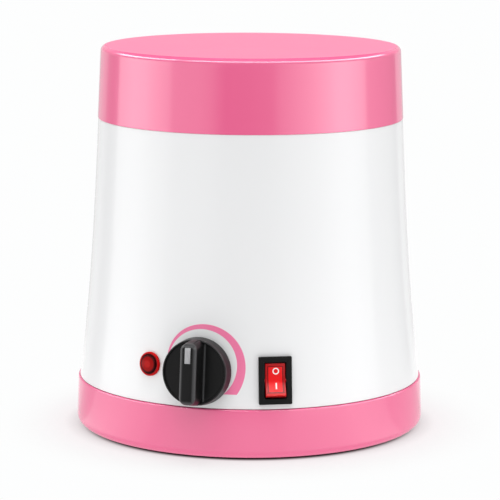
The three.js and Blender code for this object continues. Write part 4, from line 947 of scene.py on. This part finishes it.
def knob():
    """A dished disc with a bar across it, a D-shaped bore behind and a pocket for the pointer."""
    rim_r, face_r, rim_h, face_h, hollow_r, hollow_h = 15.5, 14.9, 8.0, 7.2, 13.0, 5.7
    disc = turned("dial_knob", [
        (0, hollow_h), (hollow_r, hollow_h), (hollow_r, 0.8), (rim_r, 0.8, 0.5), (face_r, rim_h, 0.5),
        (14.0, rim_h, 0.2), (13.9, face_h, 0.2), (0, face_h),
    ], facets=144, steps=6, longest=2.5)
    envelope = turned("within", [(0, 6), (15.05, 6), (14.0, 18.4, 1.0), (0, 18.4)], facets=144)
    bar = combined(grip_bar(), [envelope], "INTERSECT")
    joined(disc, bar, rod(5.4, 4.7, 7.0))
    flat = shifted(block(8, 8, 0, 12), 0, -5.2)
    bore = cut(rod(3.1, 0.5, 11.9), flat)
    pocket = shifted(pulled("pocket", rectangle(2.8, 7.3, 0.2), 17.7, 20), 0, POINTER_UP)
    cut(disc, bore, pocket)
    finished(moved(disc, DIAL), knob_plastic, "knob", ["knob"], "black_plastic", 40)
    mark = softened(pulled("pointer_mark", rectangle(2.6, 7.1, 0.15), 17.8, 18.34), 0.08, 2)
    shifted(mark, 0, POINTER_UP)
    finished(moved(mark, DIAL), pointer_foil, "knob", ["knob_pointer"], "silver_paint")


def lamp():
    """The lamp's lens: a barrel in the wall, a flange, a groove and a low dome."""
    bore_r, barrel_r, flange_r, dome_h = 3, 3.9, 5.5, 2.45
    lens = turned("lamp_window", [
        (bore_r, -9), (barrel_r, -9), (barrel_r, 0.1), (flange_r, 0.1), (flange_r, 1.25, 0.5),
        (4.3, 1.25, 0.2), (4.2, 1.0, 0.1), (4.0, 1.0, 0.1), (3.9, 2.05, 0.3), (3.1, 2.2, 0.3),
        (1.6, dome_h, 1.2), (0, dome_h), (0, 1.2), (bore_r, 1.2),
    ], facets=96, steps=8)
    return finished(moved(lens, LAMP), lens_plastic, "base", ["lamp_lens"], "red_lens", 40)


def switch():
    """The switch's frame: a bezel, a body with two snap tabs, and a hollow for the rocker."""
    bezel = softened(pulled("bezel", rectangle(15.05, 21.6, 0.5), 0.1, 1.8, 4), 0.3, 3)
    joined(bezel, block(12.65, 19.2, -15, 0.9))
    tab_side = [(9.2, -2.7), (10.4, -2.7), (9.2, -6.7)]
    for side in (-1, 1):
        tab = lofted("tab", [[(x, side * y, h) for y, h in tab_side] for x in (-3, 3)])
        joined(bezel, tab)
    hollow = lofted("hollow", [
        [(p.x, p.y, h) for p in rounded(rectangle(9.8 + 2 * g, 16.2 + 2 * g, 0.4), 4)]
        for g, h in ((0, -4.8), (0, 1.45), (0.35, 1.8), (0.35, 3))
    ])
    cut(bezel, hollow, on_side(rod(1.1, -5.7, 5.7, facets=24)))
    bezel.name = "switch_bezel"
    finished(moved(bezel, SWITCH), bezel_plastic, "base", ["switch_body"], "black_plastic", 40)


def rocker():
    """The rocker: round ends about its pin and a dipped face, tipped towards its lower end."""
    reach, end_h, heel, dip_h, half_width, tip = 7.8, 2.6, -2.0, 1.2, 4.6, -10
    end_x = math.sqrt(reach ** 2 - end_h ** 2)
    def arc(start, end, side):
        heights = [start + (end - start) * k / 12 for k in range(13)]
        return [(side * math.sqrt(reach ** 2 - h ** 2), h) for h in heights]
    shares = (0.8, 0.6, 0.4, 0.2, 0, -0.2, -0.4, -0.6, -0.8)
    dip = [(end_x * share, dip_h + (end_h - dip_h) * abs(share) ** 1.6) for share in shares]
    side_view = [*arc(heel, end_h, 1), *dip, *arc(end_h, heel, -1), (-2, -4.2), (2, -4.2)]
    sides = (-half_width, half_width)
    key = lofted("rocker_key", [[(x, v, h) for v, h in side_view] for x in sides])
    softened(key, 0.45, 4, 35)
    joined(key, on_side(rod(1, -5.4, 5.4, facets=24)))
    moved(key, SWITCH @ Matrix.Rotation(math.radians(tip), 4, "X"))
    finished(key, rocker_plastic, "rocker", ["switch_rocker"], "red_lens", 40)


def inner_pieces():
    """What the case and the lid hide: copies of the solids, with a finish and rounded edges."""
    hidden = [
        ("ear_right", bright_steel, "steel", 0.15, "pot"),
        ("ear_left", bright_steel, "steel", 0.15, "pot"),
        ("heater_band", band_metal, "mica_band", 0.2),
        ("clamp_screw", zinc_steel, "steel"),
        ("clamp_nut", zinc_steel, "steel", 0.15),
        ("thermostat_body", brown_laminate, "phenolic", 0.25),
        ("thermostat_nut", bare_brass, "brass", 0.2),
        ("thermostat_shaft", bright_steel, "steel", 0, "knob"),
        ("sensor_bulb", bare_copper, "copper"),
        ("bulb_clip", zinc_steel, "steel", 0.1),
        ("lamp_body", cream_nylon, "nylon"),
        ("lamp_clip", zinc_steel, "steel", 0.1),
        ("switch_terminal_line", bare_brass, "brass", 0.1),
        ("switch_terminal_load", bare_brass, "brass", 0.1),
        ("switch_terminal_lamp", bare_brass, "brass", 0.1),
        ("gland_nut", bezel_plastic, "black_plastic", 0.25),
        ("thermal_fuse", bare_copper, "copper"),
        ("fuse_clip", zinc_steel, "steel", 0.1),
        ("terminal_block", cream_nylon, "nylon", 0.2),
        ("block_screw", zinc_steel, "steel"),
        ("wire_block_to_switch", brown_wire, "wire_brown"),
        ("wire_switch_to_thermostat", brown_wire, "wire_brown"),
        ("wire_thermostat_to_fuse", red_wire, "wire_red"),
        ("wire_fuse_to_heater", white_wire, "wire_white"),
        ("wire_heater_to_block", white_wire, "wire_white"),
        ("wire_lamp_feed", red_wire, "wire_red"),
        ("wire_lamp_to_block", blue_wire, "wire_blue"),
        ("wire_switch_to_block", blue_wire, "wire_blue"),
    ]
    for row in hidden:
        dressed(*row)


# Floor, light and camera

def mixed(share, one, other):
    """One shader where the share is 0, and the other one where it is 1."""
    return share.node("ShaderNodeMixShader", {0: share, 1: one, 2: other})


def seen_by(start, *kinds):
    """1 for the kinds of ray that are named, and 0 for others."""
    rays = start.node("ShaderNodeLightPath").socket.node
    seen, *others = [Field(start.tree, rays.outputs[f"Is {kind} Ray"]) for kind in kinds]
    for other in others:
        seen = seen.math("MAXIMUM", other)
    return seen


# How bright the low part of the studio looks in a glossy side: (degrees from the front, brightness).
STUDIO_LEVELS = [
    (-180, 0.6), (-150, 0.9), (-140, 0.85), (-138, 0.6), (-127, 0.5), (-119, 0.8), (-117, 2.0),
    (-98, 3.4), (-86, 3.6), (-63, 2.3), (-60, 1.45), (-38, 1.3), (-30, 1.0), (-19, 0.15), (0, 0.25),
    (16, 0.5), (22, 1.15), (48, 2.7), (68, 4.2), (78, 4.0), (95, 2.6), (98, 1.3), (114, 0.85),
    (134, 0.5), (142, 0.45), (144, 0.9), (150, 0.9), (180, 0.6),
]
TOP_LEVEL = 5


def mirrored_round(turn):
    """The low part of the studio, as a glossy side shows it in a direction."""
    stops = [((degrees + 180) / 360, (level / TOP_LEVEL,) * 3) for degrees, level in STUDIO_LEVELS]
    place = turn / (2 * math.pi) + 0.5
    return turn.node("ShaderNodeValToRGB", {0: place}, {"stops": stops}) * TOP_LEVEL


def glowing(start, strength, colour=(1, 1, 1, 1)):
    return start.node("ShaderNodeEmission", {"Color": colour, "Strength": strength})


def white_paper(start, reach, side):
    """The floor near the warmer: it takes a shadow, and glows a little beyond the ring's foot. Where the
    glow starts it paints a dark contact shadow round the foot, and beside the ring's sides it is dimmed as
    painted shade.
    """
    far = reach.within(0.2, 0.5)
    bounce = (1.0 - seen_by(start, "Camera", "Glossy")) * far
    paper = start.node("ShaderNodeBsdfDiffuse", {"Color": (0.2, 0.2, 0.201, 1)})
    # Painted shade on the floor beside the ring's left and right sides.
    painted_side_shade = side ** 2.0 * reach.within(0.082, 0.09) * 0.17
    # The glow starts just past the ring's foot, so the dark contact line there is painted shadow.
    glow_and_painted_contact_shadow = glowing(start, reach.rising(0.0765, 0.0812) * (1.0 - painted_side_shade) * (bounce * 0.28 + 0.67))
    return start.node("ShaderNodeAddShader", {0: paper, 1: glow_and_painted_contact_shadow})


def mirrored_floor(turn, reach, side):
    """How bright a place on the floor looks in a glossy side."""
    near = (reach - side ** 3.0 * 0.07).within(0.16, 0.30)
    aimed = turn + (turn * 0.5).math("SINE") * 0.073 / reach
    return mirrored_round(aimed) * (1.0 - near * 0.7) + near * (1.15 - side * 0.5)


def floor():
    """A wide white sheet. Far from the warmer it is as white as the backdrop."""
    mesh = bmesh.new()
    bmesh.ops.create_circle(mesh, cap_ends=True, segments=64, radius=30)
    ground = piece_from("floor", mesh)
    material = bpy.data.materials.new("floor_white")
    start = bare_tree(material)
    x, y, _ = start.node("ShaderNodeTexCoord", out="Object").split()
    reach = length(x, y)
    side = x.size() / reach
    backdrop = seen_by(start, "Camera", "Transmission") * reach.rising(0.084, 0.125)
    seen = mixed(backdrop, white_paper(start, reach, side), glowing(start, 1.0, (0.985, 0.99, 0.99, 1)))
    glossy = seen_by(start, "Glossy") * reach.rising(0.083, 0.1)
    seen = mixed(glossy, seen, glowing(start, mirrored_floor(direction(x, y), reach, side)))
    start.node("ShaderNodeOutputMaterial", {"Surface": seen})
    ground.data.materials.append(material)


def mirrored_overhead(turn, y, z):
    """The overhead light in front, as a glossy top edge shows it, with a dim gap on its left."""
    lean = z + y * 0.28
    band = lean.rising(0.1, 0.5) ** 2.0 * lean.within(0.6, 0.72)
    ends = z.rising(0.25, 0.45) * y.within(0.45, 0.75)
    gap = turn.rising(-1.22, -1.12) * turn.within(-1.02, -0.92)
    return band * ends * (1.0 - gap * 0.6) * 9


def surroundings():
    """A white studio. In a glossy side it shows as soft lights round the warmer and overhead."""
    world = bpy.data.worlds.new("studio")
    bpy.context.scene.world = world
    start = bare_tree(world)
    def shining(strength):
        return start.node("ShaderNodeBackground", {"Color": (1, 1, 1, 1), "Strength": strength})
    x, y, z = start.node("ShaderNodeTexCoord", out="Generated").split()
    turn = direction(x, y)
    rise = z.rising(0.0, 0.14)
    low = mirrored_round(turn) * (1.0 - rise) + rise * z.within(0.3, 0.6) * 0.5
    fill = shining(y.rising(-0.3, 0.6) * 0.34 + 0.48)
    shown = shining(low + mirrored_overhead(turn, y, z) + 0.1)
    seen = mixed(seen_by(start, "Glossy"), fill, shown)
    seen = mixed(seen_by(start, "Camera", "Transmission"), seen, shining(1.0))
    start.node("ShaderNodeOutputWorld", {"Surface": seen})


def soft_light(name, place, towards, size, power, stops=None):
    """A rectangular soft light. Stops set how bright it is along its length."""
    data = bpy.data.lights.new(name, "AREA")
    data.shape = "RECTANGLE"
    data.size, data.size_y = size
    data.energy = power
    if stops:
        start = bare_tree(data)
        along = start.node("ShaderNodeNewGeometry", out="Parametric").split()[0]
        grey = [(share, (level,) * 3) for share, level in stops]
        ramp = along.node("ShaderNodeValToRGB", {0: along}, {"stops": grey})
        start.node("ShaderNodeOutputLight", {"Surface": glowing(start, 1.0, ramp)})
    light = added(name, data)
    light.location = place
    light.visible_glossy = False
    light.rotation_euler = (Vector(towards) - Vector(place)).to_track_quat("-Z", "Y").to_euler()


def side_panel(name, side, power, levels):
    """A long low panel beside the warmer. Levels are (degrees from the front, brightness)."""
    distance, front, long, tall, z = 1.3, -1.5, 2.3, 0.34, 0.15
    stops = []
    for degrees, level in levels:
        share = (-distance / math.tan(math.radians(degrees)) - front) / long
        stops.append((share if side > 0 else 1 - share, level))
    middle = front + long / 2
    soft_light(name, (side * distance, middle, z), (0, middle, z), (long, tall), power, sorted(stops))


def studio_lights():
    """A long panel on each side, a softbox in front and one overhead, in metres and watts."""
    panel_power = 4.7
    left = [(42, 0.04), (55, 0.2), (70, 0.5), (84, 0.8), (100, 1.2), (120, 1.6)]
    right = [(42, 0.1), (50, 0.5), (60, 0.8), (84, 0.9), (98, 1.0), (120, 1.3)]
    side_panel("panel_left", -1, panel_power, left)
    side_panel("panel_right", 1, panel_power, right)
    soft_light("softbox_front", (0, -1.0, 1.3), (0, 0, 0.08), (1.3, 1.0), 7.0)
    soft_light("softbox_top", (0, 0, 1.6), (0, 0.001, 0), (1.0, 1.0), 19)


def camera():
    """The photograph's camera: in front, a little above the lid and looking slightly down."""
    data = bpy.data.cameras.new("camera")
    data.sensor_width = SENSOR_WIDTH
    data.lens = SENSOR_WIDTH * FOCAL_PX / PHOTO_PX
    data.clip_start, data.clip_end = 0.05, 60
    eye = added("camera", data)
    turn = Matrix.Rotation(math.pi / 2 - LOOK_DOWN, 4, "X") @ Matrix.Rotation(ROLL, 4, "Z")
    eye.matrix_world = Matrix.Translation(EYE) @ turn
    bpy.context.scene.camera = eye


camera()
lid()
housing()
base_tray()
well()
pot()
rivets()
bail()
fasteners()
gland()
knob()
lamp()
switch()
rocker()
inner_pieces()
floor()
surroundings()
studio_lights()

bpy.context.scene.view_settings.view_transform = "Standard"
